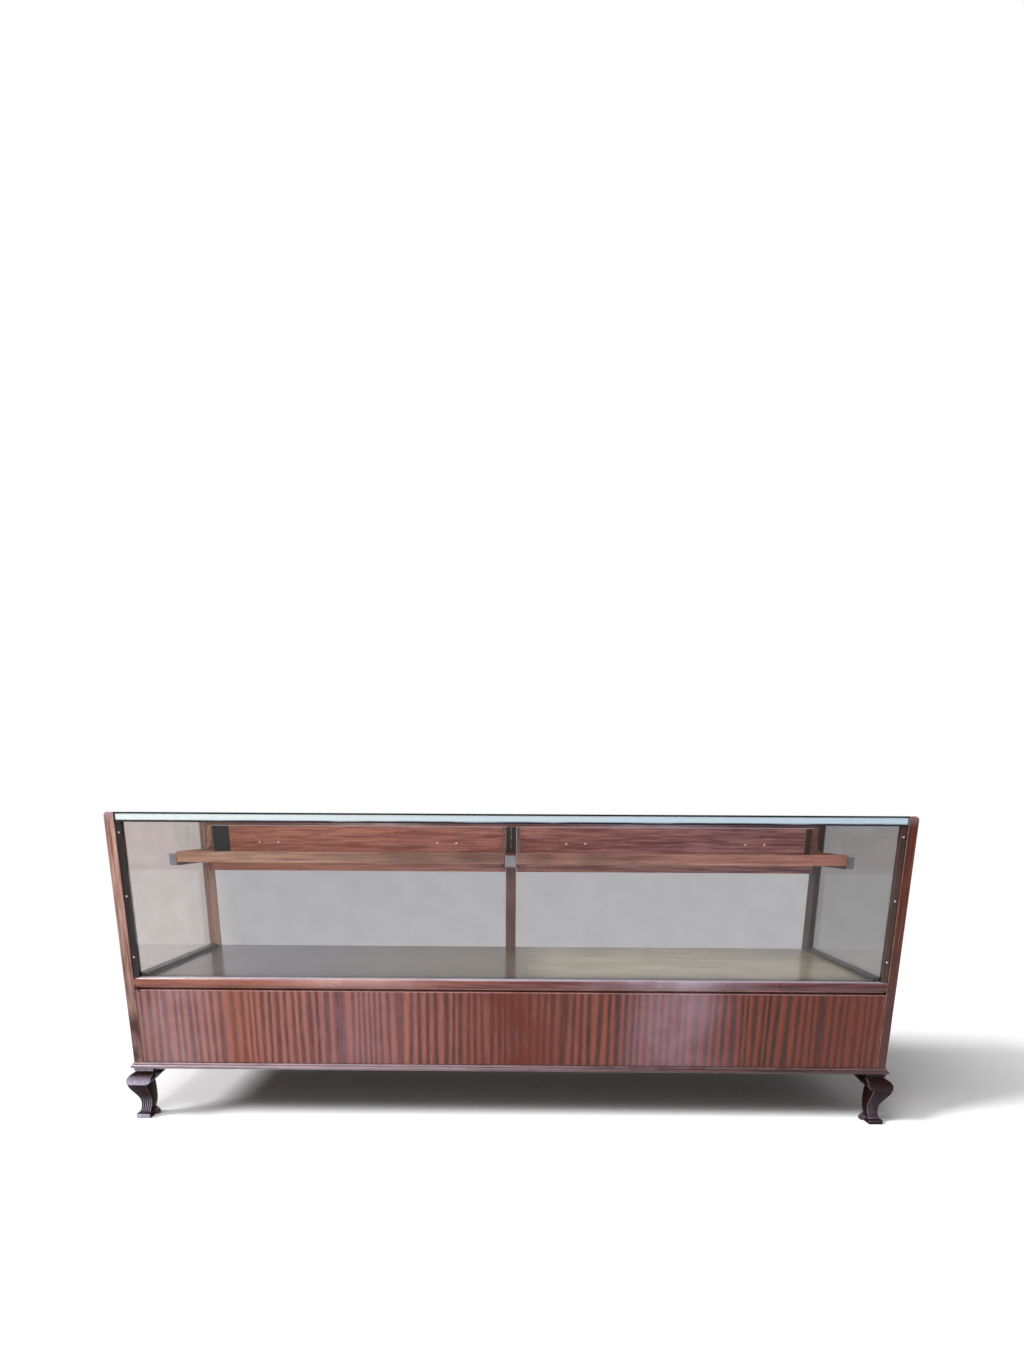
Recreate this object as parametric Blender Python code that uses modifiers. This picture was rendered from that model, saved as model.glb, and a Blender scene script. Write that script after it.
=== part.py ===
"""Glazed mahogany shop counter on cabriole feet, with two sliding trays and two sliding doors.

Metres, +Z up. X runs along the counter, the customer's side faces -Y, and the origin is on
the floor under the middle of the counter.
"""

import math

import bmesh
import bpy
from mathutils import Matrix, Vector

# Air left between pieces that touch
GAP = 0.0003

# Whole counter, over the stiles and without the knees of the feet
LENGTH = 2.286
DEPTH = 0.550
HEIGHT = 0.925

# Levels above the floor
FOOT_HEIGHT = 0.162
SILL_HEIGHT = 0.447

# Carcase
BOTTOM_THICKNESS = 0.018
DECK_THICKNESS = 0.018
PANEL_THICKNESS = 0.018
PANEL_SETBACK = 0.002
PARTITION_THICKNESS = 0.018
MID_RAIL_HEIGHT = 0.032
MID_RAIL_DEPTH = 0.030
MID_RAIL_NOSE = 0.010
SHADOW_GROOVE = 0.007
GROOVE_SETBACK = 0.006
BACK_MID_RAIL_THICKNESS = 0.018
BACK_MID_RAIL_HEIGHT = 0.039
BACK_MID_RAIL_DROP = 0.003
BACK_TOP_RAIL_HEIGHT = 0.035
BACK_TOP_RAIL_DEPTH = 0.035

# Uprights
STILE_WIDTH = 0.027
STILE_DEPTH = 0.045
STILE_TOP_ROUND = 0.012
POST_WIDTH = 0.025
POST_DEPTH = 0.050
CENTRE_POST_WIDTH = 0.036
CENTRE_POST_DEPTH = 0.085

# Glass and what holds it
GLASS_THICKNESS = 0.006
TOP_GLASS_THICKNESS = 0.005
FRONT_GLASS_SETBACK = 0.012
END_GLASS_INSET = 0.030
STRIP_HEIGHT = 0.022
STRIP_SETBACK = 0.001
STRIP_FLANGE_DEPTH = 0.030
STRIP_FLANGE_THICKNESS = 0.003
END_STRIP_WALL = 0.0024
CORNER_BEAD_WIDTH = 0.0175
CORNER_BEAD_SETBACK = 0.004
END_BEAD_WIDTH = 0.0277
END_BEAD_HEIGHT = 0.011

# Base moulding, whose height follows the bottom board
MOULDING_REACH = 0.0085
MOULDING_NOSE_HEIGHT = 0.012
MOULDING_STEP = 0.005
MOULDING_QUIRK = 0.0025

# Foot, measured outwards (+) and inwards (-) from the outer faces of the stile
CAP_HEIGHT = 0.011
CAP_OUT = 0.003
CAP_IN = -0.058
NECK_OUT = 0.0005
NECK_IN = -0.040
KNEE_HEIGHT = 0.124
KNEE_OUT = 0.021
KNEE_IN = -0.040
SHOULDER_RISE = 0.014
SHOULDER_OUT = 0.0145
LIP_DROP = 0.011
LIP_STEP = 0.0025
LIP_TAPER = 0.001
ANKLE_HEIGHT = 0.048
ANKLE_OUT = -0.005
ANKLE_IN = -0.037
TOE_HEIGHT = 0.0145
TOE_OUT = 0.0095
TOE_IN = -0.037
TOE_NECK_RISE = 0.003
TOE_NECK_OUT = 0.003
TOE_NECK_IN = -0.0325
TOE_ROUND = 0.002
FOOT_CHAMFER = 0.0025
SHANK_RINGS = 9
TOE_RINGS = 5
SCROLL_RADIUS = 0.0095
SCROLL_LENGTH = 0.026
SCROLL_IN = -0.036
WING_LENGTH = 0.042
WING_HEIGHT = 0.030
WING_EDGE = 0.003
WING_SAG = 0.0035
WING_ROOT = 0.006
WING_THICKNESS = 0.018
WING_SETBACK = 0.016

# How far the shank's curve keeps the direction of its two ends, as a share of its height
SHANK_UPPER_PULL = 0.33
SHANK_LOWER_PULL = 0.30
# Where the curve under the knee is drawn to, outside and inside
SHANK_WAIST_OUT = 0.011
SHANK_WAIST_IN = -0.0395
SHANK_CALF_IN = -0.040
# The same for the curve from the ankle to the toe
ANKLE_PULL = 0.33
INSTEP_PULL = 0.25
INSTEP_OUT = -0.002
INSTEP_IN = -0.034

# Trays under the top glass
TRAY_DEPTH = 0.282
TRAY_DROP = 0.156
TRAY_CLEARANCE = 0.0015
TRAY_BOARD_THICKNESS = 0.018
TRAY_BOARD_SETBACK = 0.0108
TRAY_BOARD_DROP = 0.0445
TRAY_LIP_THICKNESS = 0.012
TRAY_SIDE_THICKNESS = 0.012
TRAY_SIDE_HEIGHT = 0.035
TRAY_SIDE_HEAD = 0.020
TRAY_SWEEP_RADIUS = 0.040
TRAY_FLOOR_THICKNESS = 0.006
TRAY_FLOOR_RISE = 0.0005

# Arms and runners that carry the trays
ARM_WIDTH = 0.022
ARM_HEIGHT = 0.038
RUNNER_HEIGHT = 0.010
RUNNER_BEARING = 0.008

# Bow handles
HANDLE_OFFSET = 0.320
HANDLE_PITCH = 0.068
HANDLE_HEIGHT = 0.057
HANDLE_REACH = 0.028
HANDLE_BEND = 0.017
HANDLE_BEND_STEPS = 5
HANDLE_ROD_RADIUS = 0.0035
ROSETTE_RADIUS = 0.008
ROSETTE_CROWN_RADIUS = 0.0048
ROSETTE_THICKNESS = 0.003
ROSETTE_RIM = 0.0012
BOLT_RADIUS = 0.002
BOLT_CLEARANCE = 0.0004
NUT_RADIUS = 0.0035
NUT_THICKNESS = 0.003

# Sliding doors of the base
DOOR_THICKNESS = 0.0114
DOOR_PITCH = 0.018
DOOR_OVERLAP = 0.040
DOOR_END_CLEARANCE = 0.0007
TRACK_EDGE = 0.0053
TRACK_SETBACK = 0.004
TRACK_SIDE_CLEARANCE = 0.0008
BOTTOM_TRACK_HEIGHT = 0.008
BOTTOM_GROOVE_DEPTH = 0.005
TOP_TRACK_HEIGHT = 0.016
TOP_GROOVE_DEPTH = 0.010
DOOR_LIFT = 0.002
PULL_WIDTH = 0.022
PULL_THICKNESS = 0.005
PULL_MARGIN = 0.014
PULL_INSET = 0.020

# Softened edges, and the steps of the round ones
WOOD_EDGE = 0.0012
GLASS_EDGE = 0.0004
METAL_EDGE = 0.0005
EDGE_ANGLE = math.radians(40)
WELD_DISTANCE = 0.00001
ROD_STEPS = 2
NOSE_STEPS = 12
CORNER_STEPS = 6
SWEEP_STEPS = 8
ROUND_SIDES = 16
SCROLL_SIDES = 20

# Places that follow from the sizes
HALF_LENGTH = LENGTH / 2
FRONT = -DEPTH / 2
BACK = DEPTH / 2
CARCASE_BASE = FOOT_HEIGHT
CARCASE_FLOOR = CARCASE_BASE + BOTTOM_THICKNESS
STILE_INNER = HALF_LENGTH - STILE_WIDTH
INFILL_OUTER = STILE_INNER - GAP
END_GLASS_OUTER = HALF_LENGTH - END_GLASS_INSET
END_GLASS_INNER = END_GLASS_OUTER - GLASS_THICKNESS
POST_OUTER = END_GLASS_OUTER
POST_INNER = POST_OUTER - POST_WIDTH
POST_FRONT = BACK - POST_DEPTH
CENTRE_HALF = CENTRE_POST_WIDTH / 2
CENTRE_POST_FRONT = BACK - CENTRE_POST_DEPTH
DECK_OUTER = POST_INNER - GAP
DECK_UNDERSIDE = SILL_HEIGHT - DECK_THICKNESS
RAIL_BACK = FRONT + MID_RAIL_DEPTH
BACK_RAIL_FRONT = BACK - BACK_MID_RAIL_THICKNESS
GLASS_SEAT = SILL_HEIGHT + GAP
TOP_SEAT = HEIGHT - TOP_GLASS_THICKNESS - GAP
GLASS_TOP = TOP_SEAT - STRIP_FLANGE_THICKNESS - GAP
FRONT_GLASS_FACE = FRONT + FRONT_GLASS_SETBACK
FRONT_GLASS_BACK = FRONT_GLASS_FACE + GLASS_THICKNESS
END_GLASS_FRONT = FRONT_GLASS_BACK + GAP
END_GLASS_BACK = POST_FRONT - GAP
BACK_TOP_RAIL_UNDERSIDE = TOP_SEAT - BACK_TOP_RAIL_HEIGHT

ARM_OUTER = END_GLASS_INNER - GAP
ARM_INNER = ARM_OUTER - ARM_WIDTH
TRAY_FRONT = BACK - TRAY_DEPTH
TRAY_BOTTOM_LEVEL = HEIGHT - TRAY_DROP
TRAY_WAY_OUTER = min(ARM_INNER, POST_INNER)
TRAY_OUTER = TRAY_WAY_OUTER - TRAY_CLEARANCE
TRAY_INNER = CENTRE_HALF + TRAY_CLEARANCE
TRAY_BOARD_BACK = BACK - TRAY_BOARD_SETBACK
TRAY_BOARD_FRONT = TRAY_BOARD_BACK - TRAY_BOARD_THICKNESS
RUNNER_TOP = TRAY_BOTTOM_LEVEL - GAP
ARM_UNDERSIDE = RUNNER_TOP - RUNNER_HEIGHT

DOOR_OUTER = DECK_OUTER - DOOR_END_CLEARANCE
TRACK_BACK = CENTRE_POST_FRONT - TRACK_SETBACK
OUTER_DOOR_MIDDLE = TRACK_BACK - TRACK_EDGE - DOOR_THICKNESS / 2 - TRACK_SIDE_CLEARANCE
INNER_DOOR_MIDDLE = OUTER_DOOR_MIDDLE - DOOR_PITCH
TRACK_FRONT = INNER_DOOR_MIDDLE - DOOR_THICKNESS / 2 - TRACK_SIDE_CLEARANCE - TRACK_EDGE
BOTTOM_TRACK_SEAT = CARCASE_FLOOR + GAP
TOP_TRACK_SEAT = DECK_UNDERSIDE - GAP

SIDES = (("left", -1), ("right", 1))


def fresh_scene():
    """Remove every object, and return the collections for the parts and for the cutters."""
    for scene_object in list(bpy.data.objects):
        bpy.data.objects.remove(scene_object, do_unlink=True)
    parts = bpy.data.collections.new("shop_counter")
    cutters = bpy.data.collections.new("cutters")
    bpy.context.scene.collection.children.link(parts)
    bpy.context.scene.collection.children.link(cutters)
    return parts, cutters


PARTS, CUTTERS = fresh_scene()


def make_material(name, color, roughness, metallic=0.0, alpha=1.0):
    """A Principled material with one colour, given as linear red, green and blue."""
    material = bpy.data.materials.new(name)
    material.use_nodes = True
    shader = material.node_tree.nodes["Principled BSDF"]
    shader.inputs["Base Color"].default_value = (*color, 1.0)
    shader.inputs["Roughness"].default_value = roughness
    shader.inputs["Metallic"].default_value = metallic
    shader.inputs["Alpha"].default_value = alpha
    return material


MAHOGANY = make_material("polished_mahogany", (0.140, 0.032, 0.017), 0.30)
RIBBON_VENEER = make_material("ribbon_stripe_veneer", (0.110, 0.026, 0.015), 0.28)
DARK_MAHOGANY = make_material("dark_stained_mahogany", (0.020, 0.009, 0.007), 0.30)
BOARD_VENEER = make_material("horizontal_grain_veneer", (0.130, 0.036, 0.020), 0.38)
DECK_WOOD = make_material("worn_deck_board", (0.150, 0.105, 0.075), 0.25)
TRAY_WOOD = make_material("tray_wood", (0.270, 0.100, 0.050), 0.45)
GLASS = make_material("plate_glass", (0.75, 0.85, 0.82), 0.02, alpha=0.25)
NICKEL = make_material("polished_nickel", (0.72, 0.78, 0.82), 0.18, metallic=1.0)
BLACK_BEAD = make_material("ebonised_bead", (0.012, 0.009, 0.009), 0.35)
BRASS = make_material("aged_brass", (0.44, 0.30, 0.12), 0.35, metallic=1.0)


def soften(target, width, segments=2):
    """Round the sharp edges of an object by a live Bevel modifier."""
    bevel = target.modifiers.new("soft_edges", 'BEVEL')
    bevel.width = width
    bevel.segments = segments
    bevel.limit_method = 'ANGLE'
    bevel.angle_limit = EDGE_ANGLE


def finish_part(target, material, edge, segments=2):
    """Give a part its material and its softened edges."""
    target.data.materials.append(material)
    if edge:
        soften(target, edge, segments)
    return target


def make_box(name, x_range, y_range, z_range, collection=PARTS):
    """A box between two X, two Y and two Z values."""
    size = Vector(high - low for low, high in (x_range, y_range, z_range))
    centre = Vector((low + high) / 2 for low, high in (x_range, y_range, z_range))
    mesh = bpy.data.meshes.new(name)
    shape = bmesh.new()
    bmesh.ops.create_cube(shape, size=1.0, matrix=Matrix.Diagonal((*size, 1.0)))
    shape.to_mesh(mesh)
    shape.free()
    box = bpy.data.objects.new(name, mesh)
    box.location = centre
    collection.objects.link(box)
    return box


def box_part(name, x_range, y_range, z_range, material, edge=WOOD_EDGE):
    """A board, batten or pane with softened edges."""
    return finish_part(make_box(name, x_range, y_range, z_range), material, edge)


def mirrored(side, low, high):
    """An X range given for the right side, turned to the side asked for."""
    return (low, high) if side > 0 else (-high, -low)


# Rotations that lay a flat outline so that its depth runs along X, Y or Z
RUN_ROTATION = {
    'X': (math.pi / 2, 0.0, math.pi / 2),
    'Y': (math.pi / 2, 0.0, 0.0),
    'Z': (0.0, 0.0, 0.0),
}


def make_prism(name, outline, run, start, end, collection=PARTS):
    """A flat outline extruded along an axis.

    The outline is (Y, Z) points for a run along X, (X, Z) points for a run along Y, and
    (X, Y) points for a run along Z.
    """
    curve = bpy.data.curves.new(name, 'CURVE')
    curve.dimensions = '2D'
    curve.fill_mode = 'BOTH'
    curve.extrude = (end - start) / 2
    spline = curve.splines.new('POLY')
    spline.points.add(len(outline) - 1)
    for point, (across, up) in zip(spline.points, outline):
        point.co = (across, up, 0.0, 1.0)
    spline.use_cyclic_u = True
    prism = bpy.data.objects.new(name, curve)
    prism.rotation_euler = RUN_ROTATION[run]
    middle = (start + end) / 2
    prism.location = {'X': (middle, 0, 0), 'Y': (0, middle, 0), 'Z': (0, 0, middle)}[run]
    collection.objects.link(prism)
    return solid_from_curve(prism, collection)


def solid_from_curve(curve_object, collection):
    """Turn a curve object into a welded mesh object of the same name and place."""
    bpy.context.view_layer.update()
    evaluated = curve_object.evaluated_get(bpy.context.evaluated_depsgraph_get())
    mesh = bpy.data.meshes.new_from_object(evaluated)
    shape = bmesh.new()
    shape.from_mesh(mesh)
    bmesh.ops.remove_doubles(shape, verts=shape.verts, dist=WELD_DISTANCE)
    bmesh.ops.recalc_face_normals(shape, faces=shape.faces)
    shape.to_mesh(mesh)
    shape.free()
    name = curve_object.name
    place = curve_object.matrix_world.copy()
    bpy.data.objects.remove(curve_object, do_unlink=True)
    solid = bpy.data.objects.new(name, mesh)
    solid.matrix_world = place
    collection.objects.link(solid)
    return solid


def arc(centre, radii, start_degrees, end_degrees, steps):
    """Points along a circular or elliptical arc, both ends included."""
    points = []
    for step in range(steps + 1):
        angle = math.radians(start_degrees + (end_degrees - start_degrees) * step / steps)
        across = centre[0] + radii[0] * math.cos(angle)
        up = centre[1] + radii[1] * math.sin(angle)
        points.append((across, up))
    return points


def combine(target, other, operation):
    """Cut one object from another, or join it on, by an exact Boolean."""
    other.hide_render = True
    other.display_type = 'WIRE'
    boolean = target.modifiers.new(f"{operation.lower()}_{other.name}", 'BOOLEAN')
    boolean.operation = operation
    boolean.solver = 'EXACT'
    boolean.object = other


def build_stile(label, side):
    """A front stile: flat, full height, with its outer top corner rounded."""
    top_arc_centre = (HALF_LENGTH - STILE_TOP_ROUND, HEIGHT - STILE_TOP_ROUND)
    outline = [(STILE_INNER, CARCASE_BASE + GAP), (HALF_LENGTH, CARCASE_BASE + GAP)]
    outline += arc(top_arc_centre, (STILE_TOP_ROUND, STILE_TOP_ROUND), 0, 90, CORNER_STEPS)
    outline.append((STILE_INNER, HEIGHT))
    outline = [(side * across, up) for across, up in outline]
    stile = make_prism(f"front_stile_{label}", outline, 'Y', FRONT, FRONT + STILE_DEPTH)
    finish_part(stile, MAHOGANY, WOOD_EDGE)


def build_back_post(label, side):
    """A back post, in line with the end glass."""
    box_part(
        f"back_post_{label}",
        mirrored(side, POST_INNER, POST_OUTER),
        (POST_FRONT, BACK),
        (CARCASE_FLOOR + GAP, TOP_SEAT),
        MAHOGANY,
    )


def build_centre_post():
    """The centre back post, from the bottom board to the back top rail."""
    box_part(
        "centre_post",
        (-CENTRE_HALF, CENTRE_HALF),
        (CENTRE_POST_FRONT, BACK),
        (CARCASE_FLOOR + GAP, BACK_TOP_RAIL_UNDERSIDE - GAP),
        MAHOGANY,
    )


def build_front_mid_rail():
    """The rail under the front glass: a rounded nose, and a set-back tongue on the panel."""
    underside = SILL_HEIGHT - MID_RAIL_HEIGHT
    nose_centre = (FRONT + MID_RAIL_NOSE, SILL_HEIGHT - MID_RAIL_HEIGHT / 2)
    nose = arc(nose_centre, (MID_RAIL_NOSE, MID_RAIL_HEIGHT / 2), 90, 270, NOSE_STEPS)
    tongue_front = FRONT + GROOVE_SETBACK + MID_RAIL_NOSE
    tongue_foot = underside - SHADOW_GROOVE + GAP
    outline = nose + [
        (tongue_front, underside),
        (tongue_front, tongue_foot),
        (RAIL_BACK, tongue_foot),
        (RAIL_BACK, SILL_HEIGHT),
    ]
    rail = make_prism("front_mid_rail", outline, 'X', -INFILL_OUTER, INFILL_OUTER)
    finish_part(rail, MAHOGANY, 0.0)


def build_end_mid_rail(label, side):
    """The sill that carries an end glass, cut round the front stile and the back post."""
    underside = SILL_HEIGHT - MID_RAIL_HEIGHT
    nose_centre = (HALF_LENGTH - MID_RAIL_NOSE, SILL_HEIGHT - MID_RAIL_HEIGHT / 2)
    nose = arc(nose_centre, (MID_RAIL_NOSE, MID_RAIL_HEIGHT / 2), -90, 90, NOSE_STEPS)
    inner = DECK_OUTER + GAP
    outline = nose + [(inner, SILL_HEIGHT), (inner, underside)]
    outline = [(side * across, up) for across, up in outline]
    name = f"end_mid_rail_{label}"
    rail = make_prism(name, outline, 'Y', RAIL_BACK + GAP, BACK)
    tall = (underside - MID_RAIL_HEIGHT, SILL_HEIGHT + MID_RAIL_HEIGHT)
    stile_cut = make_box(
        f"{name}_stile_cut",
        mirrored(side, STILE_INNER - GAP, HALF_LENGTH + MID_RAIL_NOSE),
        (FRONT - STILE_DEPTH, FRONT + STILE_DEPTH + GAP),
        tall,
        CUTTERS,
    )
    post_cut = make_box(
        f"{name}_post_cut",
        mirrored(side, POST_INNER - POST_WIDTH, POST_OUTER + GAP),
        (POST_FRONT - GAP, BACK + POST_DEPTH),
        tall,
        CUTTERS,
    )
    combine(rail, stile_cut, 'DIFFERENCE')
    combine(rail, post_cut, 'DIFFERENCE')
    finish_part(rail, MAHOGANY, 0.0)


def build_back_rails():
    """The two short rails behind the deck, and the rail that carries the back of the top."""
    top = SILL_HEIGHT - BACK_MID_RAIL_DROP
    for label, side in SIDES:
        box_part(
            f"back_mid_rail_{label}",
            mirrored(side, CENTRE_HALF + GAP, POST_INNER - GAP),
            (BACK_RAIL_FRONT, BACK),
            (top - BACK_MID_RAIL_HEIGHT, top),
            MAHOGANY,
        )
    box_part(
        "back_top_rail",
        (-(POST_INNER - GAP), POST_INNER - GAP),
        (BACK - BACK_TOP_RAIL_DEPTH, BACK),
        (BACK_TOP_RAIL_UNDERSIDE, TOP_SEAT),
        MAHOGANY,
    )


def build_carcase():
    """Bottom board, front and end panels, partition and deck."""
    infill = (-INFILL_OUTER, INFILL_OUTER)
    panel_top = SILL_HEIGHT - MID_RAIL_HEIGHT - SHADOW_GROOVE
    box_part(
        "bottom_board",
        (-(END_GLASS_OUTER - GAP), END_GLASS_OUTER - GAP),
        (FRONT + GAP, BACK),
        (CARCASE_BASE + GAP, CARCASE_FLOOR),
        MAHOGANY,
    )
    box_part(
        "front_panel",
        infill,
        (FRONT + PANEL_SETBACK, FRONT + PANEL_SETBACK + PANEL_THICKNESS),
        (CARCASE_FLOOR + GAP, panel_top),
        RIBBON_VENEER,
    )
    for label, side in SIDES:
        box_part(
            f"end_panel_{label}",
            mirrored(side, END_GLASS_OUTER, HALF_LENGTH),
            (FRONT + STILE_DEPTH + GAP, BACK),
            (CARCASE_BASE + GAP, SILL_HEIGHT - MID_RAIL_HEIGHT - GAP),
            RIBBON_VENEER,
        )
    box_part(
        "partition",
        (-PARTITION_THICKNESS / 2, PARTITION_THICKNESS / 2),
        (RAIL_BACK + GAP, TRACK_FRONT - GAP),
        (CARCASE_FLOOR + GAP, DECK_UNDERSIDE - GAP),
        MAHOGANY,
    )
    deck = box_part(
        "deck",
        (-DECK_OUTER, DECK_OUTER),
        (RAIL_BACK + GAP, BACK_RAIL_FRONT - GAP),
        (DECK_UNDERSIDE, SILL_HEIGHT),
        DECK_WOOD,
        edge=0.0,
    )
    post_cut = make_box(
        "deck_post_cut",
        (-(CENTRE_HALF + GAP), CENTRE_HALF + GAP),
        (CENTRE_POST_FRONT - GAP, BACK + CENTRE_POST_DEPTH),
        (DECK_UNDERSIDE - DECK_THICKNESS, SILL_HEIGHT + DECK_THICKNESS),
        CUTTERS,
    )
    combine(deck, post_cut, 'DIFFERENCE')


def moulding_outline():
    """The base moulding's section as (outwards, up) points: nose, quirk and top fillet."""
    nose_radii = (MOULDING_REACH / 2, MOULDING_NOSE_HEIGHT / 2)
    quirk_bottom = MOULDING_NOSE_HEIGHT
    quirk_top = quirk_bottom + MOULDING_QUIRK
    outline = [(0.0, 0.0)]
    outline += arc(nose_radii, nose_radii, -90, 90, NOSE_STEPS)
    outline += [
        (MOULDING_STEP - MOULDING_QUIRK, quirk_bottom),
        (MOULDING_STEP - MOULDING_QUIRK, quirk_top),
        (MOULDING_STEP, quirk_top),
        (0.0, BOTTOM_THICKNESS),
    ]
    return outline


def mitre(strip, corner, outwards, along):
    """Cut a moulding on the vertical plane through a corner at 45 degrees."""
    shape = bmesh.new()
    shape.from_mesh(strip.data)
    shape.transform(strip.matrix_world)
    normal = (along - outwards).normalized()
    bmesh.ops.bisect_plane(
        shape,
        geom=shape.verts[:] + shape.edges[:] + shape.faces[:],
        dist=WELD_DISTANCE,
        plane_co=corner - normal * GAP / 2,
        plane_no=normal,
        clear_outer=True,
    )
    open_edges = [edge for edge in shape.edges if edge.is_boundary]
    bmesh.ops.contextual_create(shape, geom=open_edges)
    bmesh.ops.recalc_face_normals(shape, faces=shape.faces)
    shape.to_mesh(strip.data)
    shape.free()
    strip.matrix_world = Matrix.Identity(4)


def build_base_moulding():
    """Three lengths of moulding, mitred at the two front corners."""
    base = CARCASE_BASE + GAP
    reach = MOULDING_REACH
    face = FRONT - GAP
    end_face = HALF_LENGTH + GAP
    section = moulding_outline()
    front_outline = [(face - out, base + up) for out, up in section]
    front = make_prism(
        "base_moulding_front", front_outline, 'X', -(end_face + reach), end_face + reach
    )
    for label, side in SIDES:
        corner = Vector((side * end_face, face, 0.0))
        sideways = Vector((side, 0.0, 0.0))
        forwards = Vector((0.0, -1.0, 0.0))
        mitre(front, corner, forwards, sideways)
        end_outline = [(side * (end_face + out), base + up) for out, up in section]
        end = make_prism(f"base_moulding_{label}", end_outline, 'Y', face - reach, BACK)
        mitre(end, corner, sideways, forwards)
        finish_part(end, MAHOGANY, 0.0)
    finish_part(front, MAHOGANY, 0.0)


def bezier(start, start_handle, end_handle, end, steps):
    """Points along a cubic curve, without its first point."""
    points = []
    for step in range(1, steps + 1):
        t = step / steps
        weights = ((1 - t) ** 3, 3 * t * (1 - t) ** 2, 3 * t ** 2 * (1 - t), t ** 3)
        controls = (start, start_handle, end_handle, end)
        point = tuple(
            sum(weight * control[axis] for weight, control in zip(weights, controls))
            for axis in range(3)
        )
        points.append(point)
    return points


def foot_rings():
    """Heights of the foot's square sections, with how far each reaches out and in."""
    cap_underside = FOOT_HEIGHT - CAP_HEIGHT
    lip = KNEE_HEIGHT - LIP_DROP
    shank_top = (lip, KNEE_OUT - LIP_STEP, KNEE_IN + LIP_STEP)
    ankle = (ANKLE_HEIGHT, ANKLE_OUT, ANKLE_IN)
    fall = lip - ANKLE_HEIGHT
    rise = ANKLE_HEIGHT - TOE_HEIGHT
    rings = [
        (FOOT_HEIGHT, CAP_OUT, CAP_IN),
        (cap_underside, CAP_OUT, CAP_IN),
        (cap_underside, NECK_OUT, NECK_IN),
        (KNEE_HEIGHT + SHOULDER_RISE, SHOULDER_OUT, KNEE_IN),
        (KNEE_HEIGHT, KNEE_OUT, KNEE_IN),
        (lip, KNEE_OUT - LIP_TAPER, KNEE_IN),
        shank_top,
    ]
    rings += bezier(
        shank_top,
        (lip - fall * SHANK_UPPER_PULL, SHANK_WAIST_OUT, SHANK_WAIST_IN),
        (ANKLE_HEIGHT + fall * SHANK_LOWER_PULL, ANKLE_OUT, SHANK_CALF_IN),
        ankle,
        SHANK_RINGS,
    )
    rings += bezier(
        ankle,
        (ANKLE_HEIGHT - rise * ANKLE_PULL, ANKLE_OUT, ANKLE_IN),
        (TOE_HEIGHT + rise * INSTEP_PULL, INSTEP_OUT, INSTEP_IN),
        (TOE_HEIGHT + TOE_NECK_RISE, TOE_NECK_OUT, TOE_NECK_IN),
        TOE_RINGS,
    )
    rings += [
        (TOE_HEIGHT, TOE_OUT - TOE_ROUND / 2, TOE_IN),
        (TOE_HEIGHT - TOE_ROUND, TOE_OUT, TOE_IN),
        (TOE_ROUND, TOE_OUT, TOE_IN),
        (0.0, TOE_OUT - TOE_ROUND, TOE_IN + TOE_ROUND),
    ]
    return rings


def square_ring(outer, inner, height, corner, side_x, side_y):
    """Eight corners of a square with cut corners, for the foot at a corner of the counter."""
    cut = FOOT_CHAMFER
    local = (
        (outer, inner + cut), (outer, outer - cut), (outer - cut, outer), (inner + cut, outer),
        (inner, outer - cut), (inner, inner + cut), (inner + cut, inner), (outer - cut, inner),
    )
    return [(corner.x + side_x * u, corner.y + side_y * v, height) for u, v in local]


def build_foot(name, side_x, side_y):
    """A square cabriole foot: cap, knee with a lip, shank, toe pad, heel scroll and wings."""
    corner = Vector((side_x * HALF_LENGTH, side_y * DEPTH / 2, 0.0))
    mesh = bpy.data.meshes.new(name)
    shape = bmesh.new()
    rings = []
    for height, outer, inner in foot_rings():
        points = square_ring(outer, inner, height, corner, side_x, side_y)
        rings.append([shape.verts.new(point) for point in points])
    for upper, lower in zip(rings, rings[1:]):
        for index in range(len(upper)):
            after = (index + 1) % len(upper)
            shape.faces.new((upper[index], upper[after], lower[after], lower[index]))
    shape.faces.new(rings[0])
    shape.faces.new(rings[-1])
    bmesh.ops.recalc_face_normals(shape, faces=shape.faces)
    shape.to_mesh(mesh)
    shape.free()
    foot = bpy.data.objects.new(name, mesh)
    PARTS.objects.link(foot)
    foot.data.materials.append(DARK_MAHOGANY)
    combine(foot, build_scroll(name, corner, side_x, side_y), 'UNION')
    for wing in build_wings(name, corner, side_x, side_y):
        combine(foot, wing, 'UNION')


def build_scroll(name, corner, side_x, side_y):
    """The rolled heel behind the toe, lying square to the foot's diagonal."""
    across = Vector((side_x, -side_y, 0.0)).normalized()
    turn = across.to_track_quat('Z', 'Y').to_matrix().to_4x4()
    centre = Vector((corner.x + side_x * SCROLL_IN, corner.y + side_y * SCROLL_IN, 0.0))
    centre.z = SCROLL_RADIUS + TOE_HEIGHT / 2
    mesh = bpy.data.meshes.new(f"{name}_scroll")
    shape = bmesh.new()
    bmesh.ops.create_cone(
        shape,
        cap_ends=True,
        segments=SCROLL_SIDES,
        radius1=SCROLL_RADIUS,
        radius2=SCROLL_RADIUS,
        depth=SCROLL_LENGTH,
        matrix=Matrix.Translation(centre) @ turn,
    )
    shape.to_mesh(mesh)
    shape.free()
    scroll = bpy.data.objects.new(f"{name}_scroll", mesh)
    CUTTERS.objects.link(scroll)
    return scroll


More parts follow.
